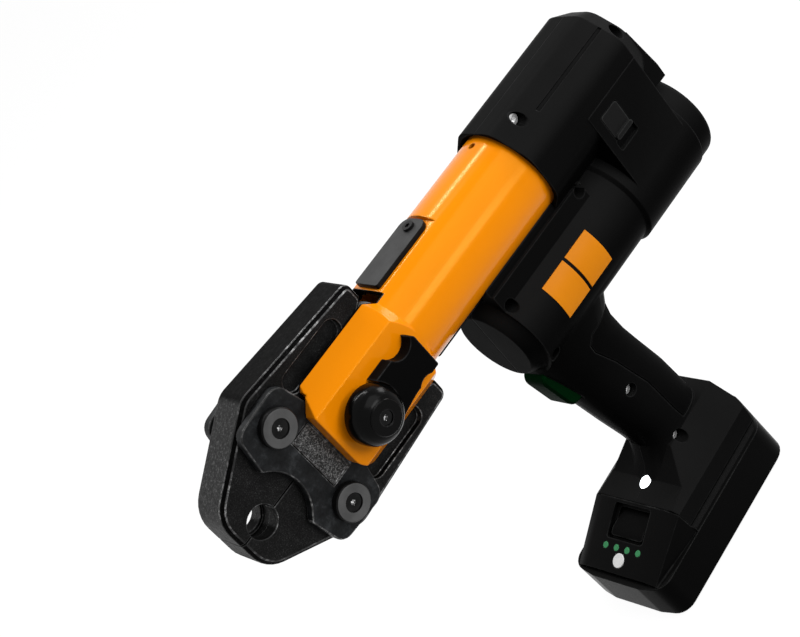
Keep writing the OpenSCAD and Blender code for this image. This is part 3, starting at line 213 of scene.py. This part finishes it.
class Finish:
    """A material with one Principled shader, its node tree and its object coordinates."""

    def __init__(self, name, edge=0.0, **values):
        self.mat = bpy.data.materials.new(name)
        self.mat.use_nodes = True
        self.tree = self.mat.node_tree
        self.shader = self.tree.nodes["Principled BSDF"]
        self.edge = edge
        for key, value in values.items():
            self.shader.inputs[key.replace("_", " ")].default_value = value
        coords = new_node(self.tree, "ShaderNodeTexCoord")
        self.where = coords.outputs["Object"]
        self.normal = coords.outputs["Normal"]

    def noise(self, scale, **more):
        return noise(self.tree, self.where, scale, **more)

    def cells(self, scale):
        return cells(self.tree, self.where, scale)

    def facing(self, axis):
        """1 on faces that look along an axis of the object, 0 on its other faces."""
        part = sums(self.tree, "ABSOLUTE", split(self.tree, self.normal)[axis])
        return spread(self.tree, part, 0.0, 1.0, *FACING_COSINES)

    def towards(self, way, cosines):
        """0 to 1 as faces turn towards a way, between two cosines."""
        along = new_node(self.tree, "ShaderNodeVectorMath", operation="DOT_PRODUCT")
        along.inputs[1].default_value = way
        link(self.tree, self.normal, along.inputs[0])
        return spread(self.tree, along.outputs["Value"], 0.0, 1.0, *cosines)

    def edges(self, reach):
        """1 along convex edges, 0 a reach in millimetres away from them."""
        made = new_node(self.tree, "ShaderNodeAmbientOcclusion", inside=True, only_local=True,
                        samples=EDGE_SAMPLES)
        made.inputs["Distance"].default_value = reach * MM
        return spread(self.tree, made.outputs["AO"], 1.0, 0.0, *EDGE_SHARES)

    def ramp(self, fac, *stops):
        return ramp(self.tree, fac, stops)

    def shades(self, fac, low, high, start=LOW_STOP, end=HIGH_STOP):
        """From a low shade or colour to a high one, as a pattern rises between two stops."""
        return self.ramp(fac, (start, low), (end, high))

    def paint(self, colour, mask=None, other=None):
        """Base colour, and where the mask is 1 the other one."""
        if mask is not None:
            colour = mixed(self.tree, mask, colour, other)
        link(self.tree, colour, self.shader.inputs["Base Color"])
        return self

    def roughness(self, scale, low, high):
        """Roughness that goes from low to high over a noise pattern of a scale."""
        rough = spread(self.tree, self.noise(scale), low, high)
        link(self.tree, rough, self.shader.inputs["Roughness"])
        return self

    def relief(self, *layers):
        """Bump from (height, depth, strength) layers, the coarse ones first, over rounded edges."""
        normal = None
        if self.edge:
            rounded = new_node(self.tree, "ShaderNodeBevel", samples=EDGE_SAMPLES)
            rounded.inputs["Radius"].default_value = self.edge * MM
            normal = rounded.outputs[0]
        for height, depth, strength in layers:
            normal = bump(self.tree, height, depth, strength, normal)
        link(self.tree, normal, self.shader.inputs["Normal"])
        return self


# Finishes of one pattern: shader values, scale and detail of the noise, two shades or colours, the roughness
# as scale and limits, the relief as scale, depth in millimetres and strength, and the low stop
PLAIN = {
    "white_plastic": {
        "shader": {"Specular_IOR_Level": 0.3}, "scale": 300, "shades": (0.72, 0.8),
        "rough": (400, 0.3, 0.4), "relief": (2500, 0.01, 0.3),
    },
    "lamp_lens": {
        "shader": {"Emission_Color": (0.92, 0.97, 1.0, 1.0), "Emission_Strength": 3.0},
        "scale": 900, "shades": (0.75, 0.85), "rough": (400, 0.1, 0.2),
    },
    "light_green": {
        "shader": {"Specular_IOR_Level": 0.1}, "scale": 900,
        "shades": ((0.035, 0.2, 0.075), (0.05, 0.27, 0.11)), "rough": (400, 0.2, 0.3),
    },
    "seal_rubber": {
        "shader": {"Specular_IOR_Level": 0.1}, "scale": 80, "shades": (0.005, 0.009),
        "rough": (200, 0.6, 0.75), "relief": (1500, 0.03, 0.4),
    },
    "cell_wrap": {
        "shader": {"Specular_IOR_Level": 0.35}, "scale": 60,
        "shades": ((0.02, 0.16, 0.15), (0.03, 0.22, 0.2)),
        "rough": (200, 0.25, 0.35), "relief": (500, 0.02, 0.3),
    },
    "yellow_label": {
        "shader": {"Specular_IOR_Level": 0.08}, "scale": 20,
        "shades": ((0.64, 0.2, 0.002), (0.7, 0.225, 0.004)),
        "rough": (90, 0.36, 0.48), "relief": (800, 0.01, 0.3),
    },
    "grey_steel": {
        "shader": {"Metallic": 0.55, "Specular_IOR_Level": 0.3}, "scale": 90, "detail": 6,
        "shades": (0.04, 0.075), "start": 0.32,
        "rough": (500, 0.36, 0.5), "relief": (1700, 0.03, 0.4),
    },
    "dark_steel": {
        "shader": {"Metallic": 0.3, "Specular_IOR_Level": 0.12}, "scale": 200, "detail": 5,
        "shades": (0.003, 0.01), "start": 0.32,
        "rough": (500, 0.34, 0.5), "relief": (1700, 0.03, 0.4),
    },
    "bright_steel": {
        "shader": {"Metallic": 0.9}, "scale": 300, "detail": 5, "shades": (0.36, 0.52),
        "rough": (700, 0.22, 0.36), "relief": (2200, 0.02, 0.3),
    },
    "bright_zinc": {
        "shader": {"Metallic": 0.7}, "scale": 300, "detail": 5, "shades": (0.75, 0.92),
        "rough": (700, 0.16, 0.28), "relief": (2200, 0.02, 0.3),
    },
    "aluminium": {
        "shader": {"Metallic": 0.9}, "scale": 120, "detail": 5, "shades": (0.5, 0.64),
        "rough": (400, 0.32, 0.48), "relief": (1200, 0.03, 0.4),
    },
    "contact_brass": {
        "shader": {"Metallic": 0.95}, "scale": 400,
        "shades": ((0.5, 0.33, 0.1), (0.66, 0.45, 0.16)), "rough": (500, 0.22, 0.36),
    },
}


def plain(name, shader, scale, shades, rough, relief=None, detail=4.0, start=LOW_STOP):
    f = Finish(name, **shader)
    f.paint(f.shades(f.noise(scale, detail=detail), *shades, start=start))
    f.roughness(*rough)
    if relief:
        grain, depth, strength = relief
        f.relief((f.noise(grain), depth, strength))
    return f


# Finishes of a cell pattern, which is their relief too: shader values, scale of the cells, two colours and
# the high stop, the roughness as scale and limits, and the depth in millimetres and strength of the relief
CELLED = {
    "board_green": ({"Specular_IOR_Level": 0.4}, 260, (0.01, 0.08, 0.02), (0.015, 0.13, 0.035), 0.5,
                    (300, 0.3, 0.45), (0.03, 0.5)),
    "copper_winding": ({"Metallic": 0.85}, 700, (0.2, 0.07, 0.03), (0.5, 0.2, 0.09), 0.6,
                       (300, 0.3, 0.42), (0.1, 0.7)),
}
CELL_START = 0.1


def celled(name):
    shader, scale, low, high, end, rough, relief = CELLED[name]
    f = Finish(name, **shader)
    pattern = f.cells(scale)
    f.paint(f.shades(pattern, low, high, CELL_START, end))
    return f.roughness(*rough).relief((pattern, *relief))


# Moulded plastics: shade of the lower faces and of the upper ones, which differ as painted shade and painted
# light, shade of worn edges with painted highlight, least and most roughness, scale of the grain and specular
# level
MOULDED = {
    "black_plastic": (0.0014, 0.0098, 0.018, 0.3, 0.4, 2600, 0.005),
    "battery_plastic": (0.0012, 0.0054, 0.026, 0.17, 0.25, 2600, 0.012),
    "grip_rubber": (0.0012, 0.0056, 0.01, 0.5, 0.62, 1500, 0.006),
    "satin_black": (0.0022, 0.004, 0.05, 0.24, 0.34, 3200, 0.006),
    "button_grey": (0.006, 0.018, 0.035, 0.3, 0.4, 3200, 0.02),
}
# Their rounding, the reach of wear and painted edge highlight and the depth of the grain in millimetres, the
# scales of patches, wear and gloss, and the shares of a shade in dark and pale patches
MOULD_ROUNDING = 1.3
MOULD_WEAR_AND_HIGHLIGHT = 0.9
MOULD_DEPTH = 0.06
MOULD_STRENGTH = 0.55
MOULD_PATCHES = 9
MOULD_SCUFFS = 160
MOULD_GLOSS = 60
MOULD_SHARES = (0.85, 1.15)
MOULD_START = 0.35


def moulded(name):
    """Moulded plastic with a fine spark-eroded grain, paler on its upper faces as painted light, and paler
    along its edges as wear and painted highlight.
    """
    lower, upper, worn, low, high, grain, specular = MOULDED[name]
    f = Finish(name, edge=MOULD_ROUNDING, Specular_IOR_Level=specular)
    patches = f.noise(MOULD_PATCHES, detail=6)
    faces = []
    for shade in (lower, upper):
        dark, pale = [share * shade for share in MOULD_SHARES]
        faces.append(f.shades(patches, dark, pale, start=MOULD_START))
    # Upper faces painted lighter and lower faces darker, as painted light and shade from above
    body = mixed(f.tree, f.towards(PAINTED_LIGHT_WAY, PAINTED_LIGHT_COSINES), *faces)
    # Convex edges painted paler, as wear and as painted highlight
    f.paint(body, f.edges(MOULD_WEAR_AND_HIGHLIGHT), f.shades(f.noise(MOULD_SCUFFS), upper, worn))
    f.roughness(MOULD_GLOSS, low, high)
    return f.relief((f.noise(grain, detail=2), MOULD_DEPTH, MOULD_STRENGTH))


# The trigger's rounding in millimetres, and its colours from the lower faces to the upper ones, painted
# darker below as shade and lighter above as light
TRIGGER_ROUNDING = 1.5
TRIGGER_STOPS = [
    (0.0, (0.0004, 0.006, 0.0014)),
    (0.6, (0.0006, 0.017, 0.0036)),
    (1.0, (0.001, 0.03, 0.007)),
]
# The knob's rounding and the reach of wear and painted edge highlight in millimetres
KNOB_ROUNDING = 0.6
KNOB_WEAR_AND_HIGHLIGHT = 0.5


def make_plastics(made):
    for name in MOULDED:
        made[name] = moulded(name)

    f = made["green_plastic"] = Finish("green_plastic", edge=TRIGGER_ROUNDING, Specular_IOR_Level=0.004)
    # Trigger painted lighter on its upper faces and darker on its lower ones, as painted light and shade
    f.paint(f.ramp(f.towards(PAINTED_LIGHT_WAY, PAINTED_LIGHT_COSINES), *TRIGGER_STOPS))
    f.roughness(70, 0.38, 0.5).relief((f.noise(2600), 0.05, 0.4))

    f = made["gloss_black"] = Finish("gloss_black", edge=KNOB_ROUNDING, Specular_IOR_Level=0.065)
    gloss = f.shades(f.noise(15), 0.0006, 0.0012, end=0.75)
    rubbed_and_lit = f.shades(f.noise(90), 0.01, 0.03)
    # Rims of the knob painted paler, as wear and as painted highlight
    f.paint(gloss, f.edges(KNOB_WEAR_AND_HIGHLIGHT), rubbed_and_lit)
    f.roughness(120, 0.15, 0.24).relief((f.noise(900), 0.02, 0.3))


# Where the fork is painted dark, from the jaw mouth in millimetres: the jaw slot, whose dark is painted
# shade, the pocket of the plates and the vent, and the softness of the borders
SLOT_BACK = -133.2
SLOT_ROOM = 1.6
SLOT_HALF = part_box("upper_jaw")[1].y / MM + SLOT_ROOM
POCKET_BACK = -96.2
POCKET_ROOM = 0.8
POCKET_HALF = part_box("jaw_plate_left")[1].y / MM + POCKET_ROOM
POCKET_RISE = 22.3
DARK_AREA_SOFT = 0.05
VENT_BACK = -236.0
VENT_RADIUS = 1.9
VENT_SOFT = 0.2


def dark_fork_areas(f):
    """1 in the jaw slot, painted dark as shade, and in the pocket of the plates and the vent of the fork."""
    x, y, z = mouth_place(f.tree, f.where)
    slot = in_box(f.tree, DARK_AREA_SOFT, (x, SLOT_BACK, 0.0), (y, -SLOT_HALF, SLOT_HALF))
    pocket = in_box(f.tree, DARK_AREA_SOFT, (x, POCKET_BACK, 0.0), (y, -POCKET_HALF, POCKET_HALF),
                    (z, -POCKET_RISE, POCKET_RISE))
    reach = distance(f.tree, sums(f.tree, "SUBTRACT", x, VENT_BACK), y)
    vent = spread(f.tree, reach, 1.0, 0.0, VENT_RADIUS, VENT_RADIUS + VENT_SOFT)
    return sums(f.tree, "MAXIMUM", vent, sums(f.tree, "MAXIMUM", slot, pocket))


# The fork's paint: rounding in millimetres, tint of its gloss and its two colours
PAINT_ROUNDING = 1.6
PAINT_TINT = (1.0, 0.72, 0.15, 1.0)
PAINT_COLOURS = ((0.83, 0.236, 0.0006), (0.88, 0.26, 0.001))


def make_paint(made):
    f = made["yellow_paint"] = Finish("yellow_paint", edge=PAINT_ROUNDING, Specular_IOR_Level=0.24,
                                      Specular_Tint=PAINT_TINT)
    paint = f.shades(f.noise(7, detail=5), *PAINT_COLOURS, end=0.72)
    dark_areas = f.shades(f.noise(300), 0.002, 0.005)
    # The jaw slot is painted dark steel as its shade; the pocket and the vent get the same dark steel
    f.paint(paint, dark_fork_areas(f), dark_areas)
    f.roughness(40, 0.14, 0.19).relief((f.noise(420, detail=2), 0.02, 0.2))


# Shades of the jaws: sides turned from the painted light, painted darker as shade, and sides turned to it,
# painted paler as light, then dark and pale parts of the faces, and how far these are mixed
JAW_SHADED_SIDES = [(0.36, 0.001), (0.56, 0.0025), (0.72, 0.02)]
JAW_LIT_SIDES = [(0.36, 0.008), (0.54, 0.035), (0.7, 0.16)]
JAW_DARK = [(0.45, 0.0015), (0.75, 0.016)]
JAW_PALE = [(0.38, 0.003), (0.55, 0.009), (0.72, 0.055)]
JAW_MOTTLE = [(0.42, 0.0), (0.6, 1.0)]
# Least and most specular level of their sides and of their faces
JAW_SIDE_SHINE = (0.008, 0.12)
JAW_FACE_SHINE = (0.0, 0.07)
# Shades of the jaw plates and of their blasted patch
PLATE_BLOTCH = [
    (0.36, (0.003, 0.0032, 0.0035)),
    (0.53, (0.0098, 0.0105, 0.0112)),
    (0.68, (0.03, 0.032, 0.034)),
]
PLATE_BLASTED = [(0.4, 0.01), (0.52, 0.045), (0.63, 0.2)]
# Shades of worn edges, and where they are still sound
EDGE_SCRATCHED = [(0.34, 0.012), (0.5, 0.055), (0.64, 0.27)]
EDGE_SOUND = [(0.3, 0.007), (0.7, 0.022)]
EDGE_KEPT = [(0.46, 0.0), (0.58, 1.0)]
# The blasted patch on the jaw plates, from the jaw mouth in millimetres, and the softness of its border
PATCH_REAR = -55.7
PATCH_FRONT = -38.3
PATCH_LOW = -18.2
PATCH_HIGH = 18.6
PATCH_SOFT = 0.25
# Turned and ground faces: the axis that they look along and their shade, with its dark and pale shares
GROUND = {"disc_steel": (ACROSS, 0.08), "strip_steel": (UP, 0.037)}
GROUND_SHARES = (0.8, 1.2)
# Screws with a drive sunk in a dark head and painted bright as a glint, and the least and full depth of the
# drive in millimetres
SUNK_DRIVES = ("pivot_screws", "knob_screw")
DRIVE_DEPTHS = (0.3, 0.4)


def make_steels(made):
    f = made["black_steel"] = Finish("black_steel", Metallic=0.2)
    grains = f.noise(1500, detail=5, rough=0.7)
    streaks = f.noise(700, detail=6, rough=0.75)
    mottle = f.ramp(f.noise(60, detail=7, rough=0.65), *JAW_MOTTLE)
    jaw_painted_light = f.towards(JAW_PAINTED_LIGHT_WAY, JAW_PAINTED_LIGHT_COSINES)
    face = f.facing(ACROSS)
    # Jaw sides that look forward and up are painted paler as light, the others darker as shade
    sides = mixed(f.tree, jaw_painted_light, f.ramp(streaks, *JAW_SHADED_SIDES), f.ramp(streaks, *JAW_LIT_SIDES))
    f.paint(sides, face, mixed(f.tree, mottle, f.ramp(grains, *JAW_DARK), f.ramp(grains, *JAW_PALE)))
    shine = sums(f.tree, "MAXIMUM", spread(f.tree, jaw_painted_light, *JAW_SIDE_SHINE),
                 spread(f.tree, face, *JAW_FACE_SHINE))
    link(f.tree, shine, f.shader.inputs["Specular IOR Level"])
    f.roughness(300, 0.42, 0.62).relief((f.noise(260), 0.12, 0.5), (grains, 0.08, 0.8))

    f = made["plate_steel"] = Finish("plate_steel", Metallic=0.2, Specular_IOR_Level=0.1)
    blotch = f.ramp(f.noise(130, detail=8, rough=0.7), *PLATE_BLOTCH)
    blasted = f.ramp(f.noise(1200, detail=4, rough=0.75), *PLATE_BLASTED)
    x, _, z = mouth_place(f.tree, f.where)
    patch = in_box(f.tree, PATCH_SOFT, (x, PATCH_REAR, PATCH_FRONT), (z, PATCH_LOW, PATCH_HIGH))
    f.paint(blotch, sums(f.tree, "MULTIPLY", patch, f.facing(ACROSS)), blasted)
    f.roughness(160, 0.38, 0.55).relief((f.noise(140), 0.08, 0.4), (f.noise(1800), 0.03, 0.5))

    f = made["worn_edge"] = Finish("worn_edge", Metallic=0.4, Specular_IOR_Level=0.2)
    scratched = f.ramp(f.noise(420, detail=6, rough=0.7), *EDGE_SCRATCHED)
    sound = f.ramp(f.noise(600), *EDGE_SOUND)
    f.paint(scratched, f.ramp(f.noise(46, detail=5), *EDGE_KEPT), sound)
    f.roughness(240, 0.35, 0.55).relief((f.noise(1500), 0.04, 0.5))

    for name, (axis, shade) in GROUND.items():
        f = made[name] = Finish(name, Metallic=0.3, Specular_IOR_Level=0.1)
        dark, pale = [share * shade for share in GROUND_SHARES]
        face = f.shades(f.noise(90, detail=6), dark, pale, start=0.32)
        f.paint(f.shades(f.noise(200), 0.002, 0.005), f.facing(axis), face)
        f.roughness(500, 0.36, 0.5).relief((f.noise(1700), 0.03, 0.4))

    for name in SUNK_DRIVES:
        f = made[name] = Finish(name, Metallic=0.9)
        head = f.shades(f.noise(200, detail=5), 0.004, 0.01, start=0.32)
        drive_glint = f.shades(f.noise(900), 0.03, 0.85, 0.42, 0.6)
        side = sums(f.tree, "ABSOLUTE", split(f.tree, f.where)[ACROSS])
        least, full = [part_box(name)[1].y - depth * MM for depth in DRIVE_DEPTHS]
        # The sunk drive is painted bright as a painted glint
        f.paint(head, spread(f.tree, side, 1.0, 0.0, full, least), drive_glint)
        f.roughness(500, 0.2, 0.32).relief((f.noise(1700), 0.02, 0.3))


def make_finishes():
    made = {name: plain(name, **look) for name, look in PLAIN.items()}
    for name in CELLED:
        made[name] = celled(name)
    for maker in (make_plastics, make_paint, make_steels):
        maker(made)
    return {key: finish.mat for key, finish in made.items()}


# Finish of each CAD node
NODE_FINISH = {
    "black_steel": ["upper_jaw", "lower_jaw"],
    "plate_steel": ["jaw_plate_left", "jaw_plate_right"],
    "pivot_screws": ["pivot_screws"],
    "knob_screw": ["knob_screw"],
    "dark_steel": ["eccentric_shaft", "roller_pins", "strip_screws"],
    "disc_steel": ["pivot_discs"],
    "strip_steel": ["guard_strip_top", "guard_strip_bottom"],
    "grey_steel": ["roller_carriage", "gearbox", "piston"],
    "bright_steel": ["pivot_pins", "retaining_bolt", "ram_rod", "return_spring", "upper_roller",
                     "lower_roller", "battery_screws", "motor_can"],
    "bright_zinc": ["housing_screws"],
    "aluminium": ["pump_block"],
    "yellow_paint": ["cylinder_fork"],
    "gloss_black": ["bolt_knob"],
    "satin_black": ["bolt_latch", "release_button", "trigger_switch"],
    "button_grey": ["reset_button"],
    "black_plastic": ["housing_left", "housing_right", "rear_cap"],
    "battery_plastic": ["battery_tray", "battery_cover"],
    "grip_rubber": ["soft_grip"],
    "yellow_label": ["label_plates"],
    "green_plastic": ["trigger"],
    "white_plastic": ["check_button"],
    "lamp_lens": ["light_lens"],
    "light_green": ["charge_leds"],
    "board_green": ["circuit_board"],
    "contact_brass": ["foot_contacts", "battery_terminals"],
    "copper_winding": ["motor_rotor"],
    "cell_wrap": ["battery_cells"],
    "seal_rubber": ["piston_seal"],
}

# Edges of the CAD nodes: chamfer and rounding in millimetres, and the finish of worn edges
NODE_EDGES = {
    "upper_jaw": (2.4, 0.55, "worn_edge"),
    "lower_jaw": (2.4, 0.55, "worn_edge"),
    "jaw_plate_left": (0.0, 0.8, "worn_edge"),
    "jaw_plate_right": (0.0, 0.8, "worn_edge"),
    "pivot_discs": (0.0, 0.3, None),
    "guard_strip_top": (0.0, 0.4, None),
    "guard_strip_bottom": (0.0, 0.4, None),
    "check_button": (0.0, 0.4, None),
    "charge_leds": (0.0, 0.3, None),
}
CHAMFER_SEGMENTS = 1
ROUNDING_SEGMENTS = 2
# Places without a chamfer, from the jaw mouth in millimetres: the mouth, the split and the lever pockets
MOUTH_RADIUS = 14.0
SPLIT_FRONT = -36.0
SPLIT_RISE = 4.0
LEVER_POCKET = ((-107.0, -55.0), (27.5, 44.0))
WELD_DISTANCE = 0.004 * MM
FLAT_ANGLE = math.radians(0.6)
EDGE_ANGLE = math.radians(28)
SMOOTH_ANGLE = math.radians(30)


def geometry_group(name):
    """A geometry group, with the socket that gives its mesh and the socket that takes the result."""
    tree = bpy.data.node_groups.new(name, "GeometryNodeTree")
    for way in ("INPUT", "OUTPUT"):
        tree.interface.new_socket("Geometry", in_out=way, socket_type="NodeSocketGeometry")
    given = new_node(tree, "NodeGroupInput").outputs[0]
    taken = new_node(tree, "NodeGroupOutput").inputs[0]
    return tree, given, taken


def edge_angle(tree):
    return new_node(tree, "GeometryNodeInputMeshEdgeAngle").outputs["Unsigned Angle"]


def make_smoothing():
    """A node group that shades a mesh smooth and keeps its edges over a limit sharp."""
    tree, given, taken = geometry_group("smoothing")
    normals = new_node(tree, "GeometryNodeSetMeshNormal", mode="SHARPNESS")
    normals.inputs["Remove Custom"].default_value = True
    sharp = new_node(tree, "FunctionNodeCompare", operation="GREATER_THAN")
    sharp.inputs["B"].default_value = SMOOTH_ANGLE
    link(tree, edge_angle(tree), sharp.inputs["A"])
    link(tree, sharp.outputs["Result"], normals.inputs["Edge Sharpness"])
    link(tree, given, normals.inputs["Mesh"])
    link(tree, normals.outputs[0], taken)
    return tree


def within(tree, value, low, high):
    """1 where a value lies between two limits, with a hard edge."""
    over = sums(tree, "GREATER_THAN", value, low)
    return sums(tree, "MULTIPLY", over, sums(tree, "LESS_THAN", value, high))


def make_chamfer_choice():
    """A node group that weighs the sharp outer edges of a jaw for its chamfer."""
    tree, given, taken = geometry_group("chamfer_choice")
    x, _, z = mouth_place(tree, new_node(tree, "GeometryNodeInputPosition").outputs[0])
    rise = sums(tree, "ABSOLUTE", z)
    along, across = LEVER_POCKET
    pocket = sums(tree, "MULTIPLY", within(tree, x, *along), within(tree, rise, *across))
    cleft = sums(tree, "MULTIPLY", sums(tree, "GREATER_THAN", x, SPLIT_FRONT),
                 sums(tree, "LESS_THAN", rise, SPLIT_RISE))
    mouth = sums(tree, "LESS_THAN", distance(tree, x, z), MOUTH_RADIUS)
    left_out = sums(tree, "MAXIMUM", pocket, sums(tree, "MAXIMUM", cleft, mouth))
    sharp = sums(tree, "GREATER_THAN", edge_angle(tree), EDGE_ANGLE)
    weight = sums(tree, "GREATER_THAN", sums(tree, "SUBTRACT", sharp, left_out), 0.5)
    store = new_node(tree, "GeometryNodeStoreNamedAttribute", data_type="FLOAT", domain="EDGE")
    store.inputs["Name"].default_value = "bevel_weight_edge"
    link(tree, weight, store.inputs["Value"])
    link(tree, given, store.inputs["Geometry"])
    link(tree, store.outputs[0], taken)
    return tree


def add_group(obj, name, group):
    obj.modifiers.new(name, "NODES").node_group = group


def add_bevel(obj, name, width, segments, limit):
    edge = obj.modifiers.new(name, "BEVEL")
    edge.width = width * MM
    edge.segments = segments
    edge.limit_method = limit
    edge.angle_limit = EDGE_ANGLE
    edge.use_clamp_overlap = False
    return edge


def add_weld(obj):
    obj.modifiers.new("weld", "WELD").merge_threshold = WELD_DISTANCE


def dress_nodes(finishes, smoothing):
    choice = make_chamfer_choice()
    for finish, names in NODE_FINISH.items():
        for name in names:
            obj = nodes[name]
            obj.data.materials.clear()
            obj.data.materials.append(finishes[finish])
            add_weld(obj)
            if name in NODE_EDGES:
                flat = obj.modifiers.new("flat", "DECIMATE")
                flat.decimate_type = "DISSOLVE"
                flat.angle_limit = FLAT_ANGLE
            add_group(obj, "smooth", smoothing)
    for name, (chamfer, width, worn) in NODE_EDGES.items():
        obj = nodes[name]
        if chamfer:
            add_group(obj, "choice", choice)
            add_bevel(obj, "chamfer", chamfer, CHAMFER_SEGMENTS, "WEIGHT")
            add_group(obj, "smooth", smoothing)
        edge = add_bevel(obj, "edges", width, ROUNDING_SEGMENTS, "ANGLE")
        edge.harden_normals = True
        if worn:
            edge.material = len(obj.data.materials)
            obj.data.materials.append(finishes[worn])
        add_weld(obj)


# The turned face on top of the bolt's knob, as an outline of radius and height over the knob's top in
# millimetres
KNOB_FACE = [(4.4, -1.6), (4.4, -0.1), (4.7, 0.25), (9.4, 0.25), (9.9, -0.2), (9.9, -1.6)]
KNOB_FACE_STEPS = 96


def make_knob_face(finishes, smoothing):
    low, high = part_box("bolt_knob")
    centre = (low + high) / 2
    points = []
    for step in range(KNOB_FACE_STEPS):
        angle = math.tau * step / KNOB_FACE_STEPS
        for radius, height in KNOB_FACE:
            points.append((centre.x + radius * MM * math.cos(angle), high.y + height * MM,
                           centre.z + radius * MM * math.sin(angle)))
    rows = len(KNOB_FACE)
    faces = []
    for step in range(KNOB_FACE_STEPS):
        here = step * rows
        after = (step + 1) % KNOB_FACE_STEPS * rows
        for row in range(rows):
            next_row = (row + 1) % rows
            faces.append((here + row, after + row, after + next_row, here + next_row))
    mesh = bpy.data.meshes.new("knob_face")
    mesh.from_pydata(points, [], faces)
    face = bpy.data.objects.new("knob_face", mesh)
    bpy.context.scene.collection.objects.link(face)
    mesh.materials.append(finishes["gloss_black"])
    add_group(face, "smooth", smoothing)
    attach(face, "bolt")


# Stage and light: the floor's place and size, its grey for light that bounces and for rays that see it, its
# roughness, the share of shadow that it keeps, its glow, and the world's light on the object and when seen
FLOOR_DROP = 0.2 * MM
FLOOR_SIZE = 12
FLOOR_BOUNCE = 0.4
FLOOR_SEEN = 0.9
FLOOR_ROUGHNESS = 0.9
SHADOW_SHARE = 0.1
GLOW = 1.06
WORLD_LIGHT = 0.25
WORLD_SEEN = 1.0


def backdrop_rays(tree):
    """1 for the rays that see the background: camera, glossy and transmission rays."""
    path = new_node(tree, "ShaderNodeLightPath").outputs
    seen = sums(tree, "MAXIMUM", path["Is Camera Ray"], path["Is Glossy Ray"])
    return sums(tree, "MAXIMUM", seen, path["Is Transmission Ray"])


def make_world():
    world = bpy.data.worlds.new("studio")
    bpy.context.scene.world = world
    world.use_nodes = True
    tree = world.node_tree
    sky = tree.nodes["Background"]
    sky.inputs["Color"].default_value = WHITE
    link(tree, spread(tree, backdrop_rays(tree), WORLD_LIGHT, WORLD_SEEN), sky.inputs["Strength"])


def make_floor():
    bpy.ops.mesh.primitive_plane_add(size=FLOOR_SIZE, location=(0, 0, -FLOOR_DROP))
    floor = bpy.context.object
    floor.name = "floor"
    mat = bpy.data.materials.new("floor")
    mat.use_nodes = True
    tree = mat.node_tree
    diffuse = tree.nodes["Principled BSDF"]
    shade = ramp(tree, backdrop_rays(tree), [(0.0, FLOOR_BOUNCE), (1.0, FLOOR_SEEN)])
    link(tree, shade, diffuse.inputs["Base Color"])
    diffuse.inputs["Roughness"].default_value = FLOOR_ROUGHNESS
    diffuse.inputs["Specular IOR Level"].default_value = 0.0
    glow = new_node(tree, "ShaderNodeEmission")
    glow.inputs["Color"].default_value = WHITE
    glow.inputs["Strength"].default_value = GLOW
    mix = new_node(tree, "ShaderNodeMixShader")
    link(tree, spread(tree, backdrop_rays(tree), 0.0, 1.0 - SHADOW_SHARE), mix.inputs["Fac"])
    link(tree, diffuse.outputs["BSDF"], mix.inputs[1])
    link(tree, glow.outputs["Emission"], mix.inputs[2])
    link(tree, mix.outputs["Shader"], tree.nodes["Material Output"].inputs["Surface"])
    floor.data.materials.append(mat)


# Soft boxes: name, place, target, width, depth and watts
SOFT_BOXES = [
    ("strip", (-0.3, -0.6, 1.22), (0.03, 0.0, 0.26), 1.0, 0.06, 9.0),
    ("side", (-0.32, 1.15, 0.5), (0.03, 0.0, 0.26), 0.5, 0.3, 4.5),
    ("rear", (-1.25, 0.1, 0.55), (0.03, 0.0, 0.26), 0.6, 0.35, 7.0),
    ("front", (-0.5, 1.0, 1.15), (0.05, 0.0, 0.2), 1.2, 1.2, 12.0),
]


def make_lights():
    for name, place, target, width, depth, watts in SOFT_BOXES:
        data = bpy.data.lights.new(name, "AREA")
        data.energy = watts
        data.shape = "RECTANGLE"
        data.size = width
        data.size_y = depth
        lamp = bpy.data.objects.new(name, data)
        lamp.location = place
        aim = Vector(target) - Vector(place)
        lamp.rotation_euler = aim.to_track_quat("-Z", "Y").to_euler()
        bpy.context.scene.collection.objects.link(lamp)


bpy.context.scene.view_settings.view_transform = "Standard"
make_camera()
make_world()
make_floor()
make_lights()
finish_table = make_finishes()
smooth_group = make_smoothing()
dress_nodes(finish_table, smooth_group)
make_knob_face(finish_table, smooth_group)

bpy.context.view_layer.update()
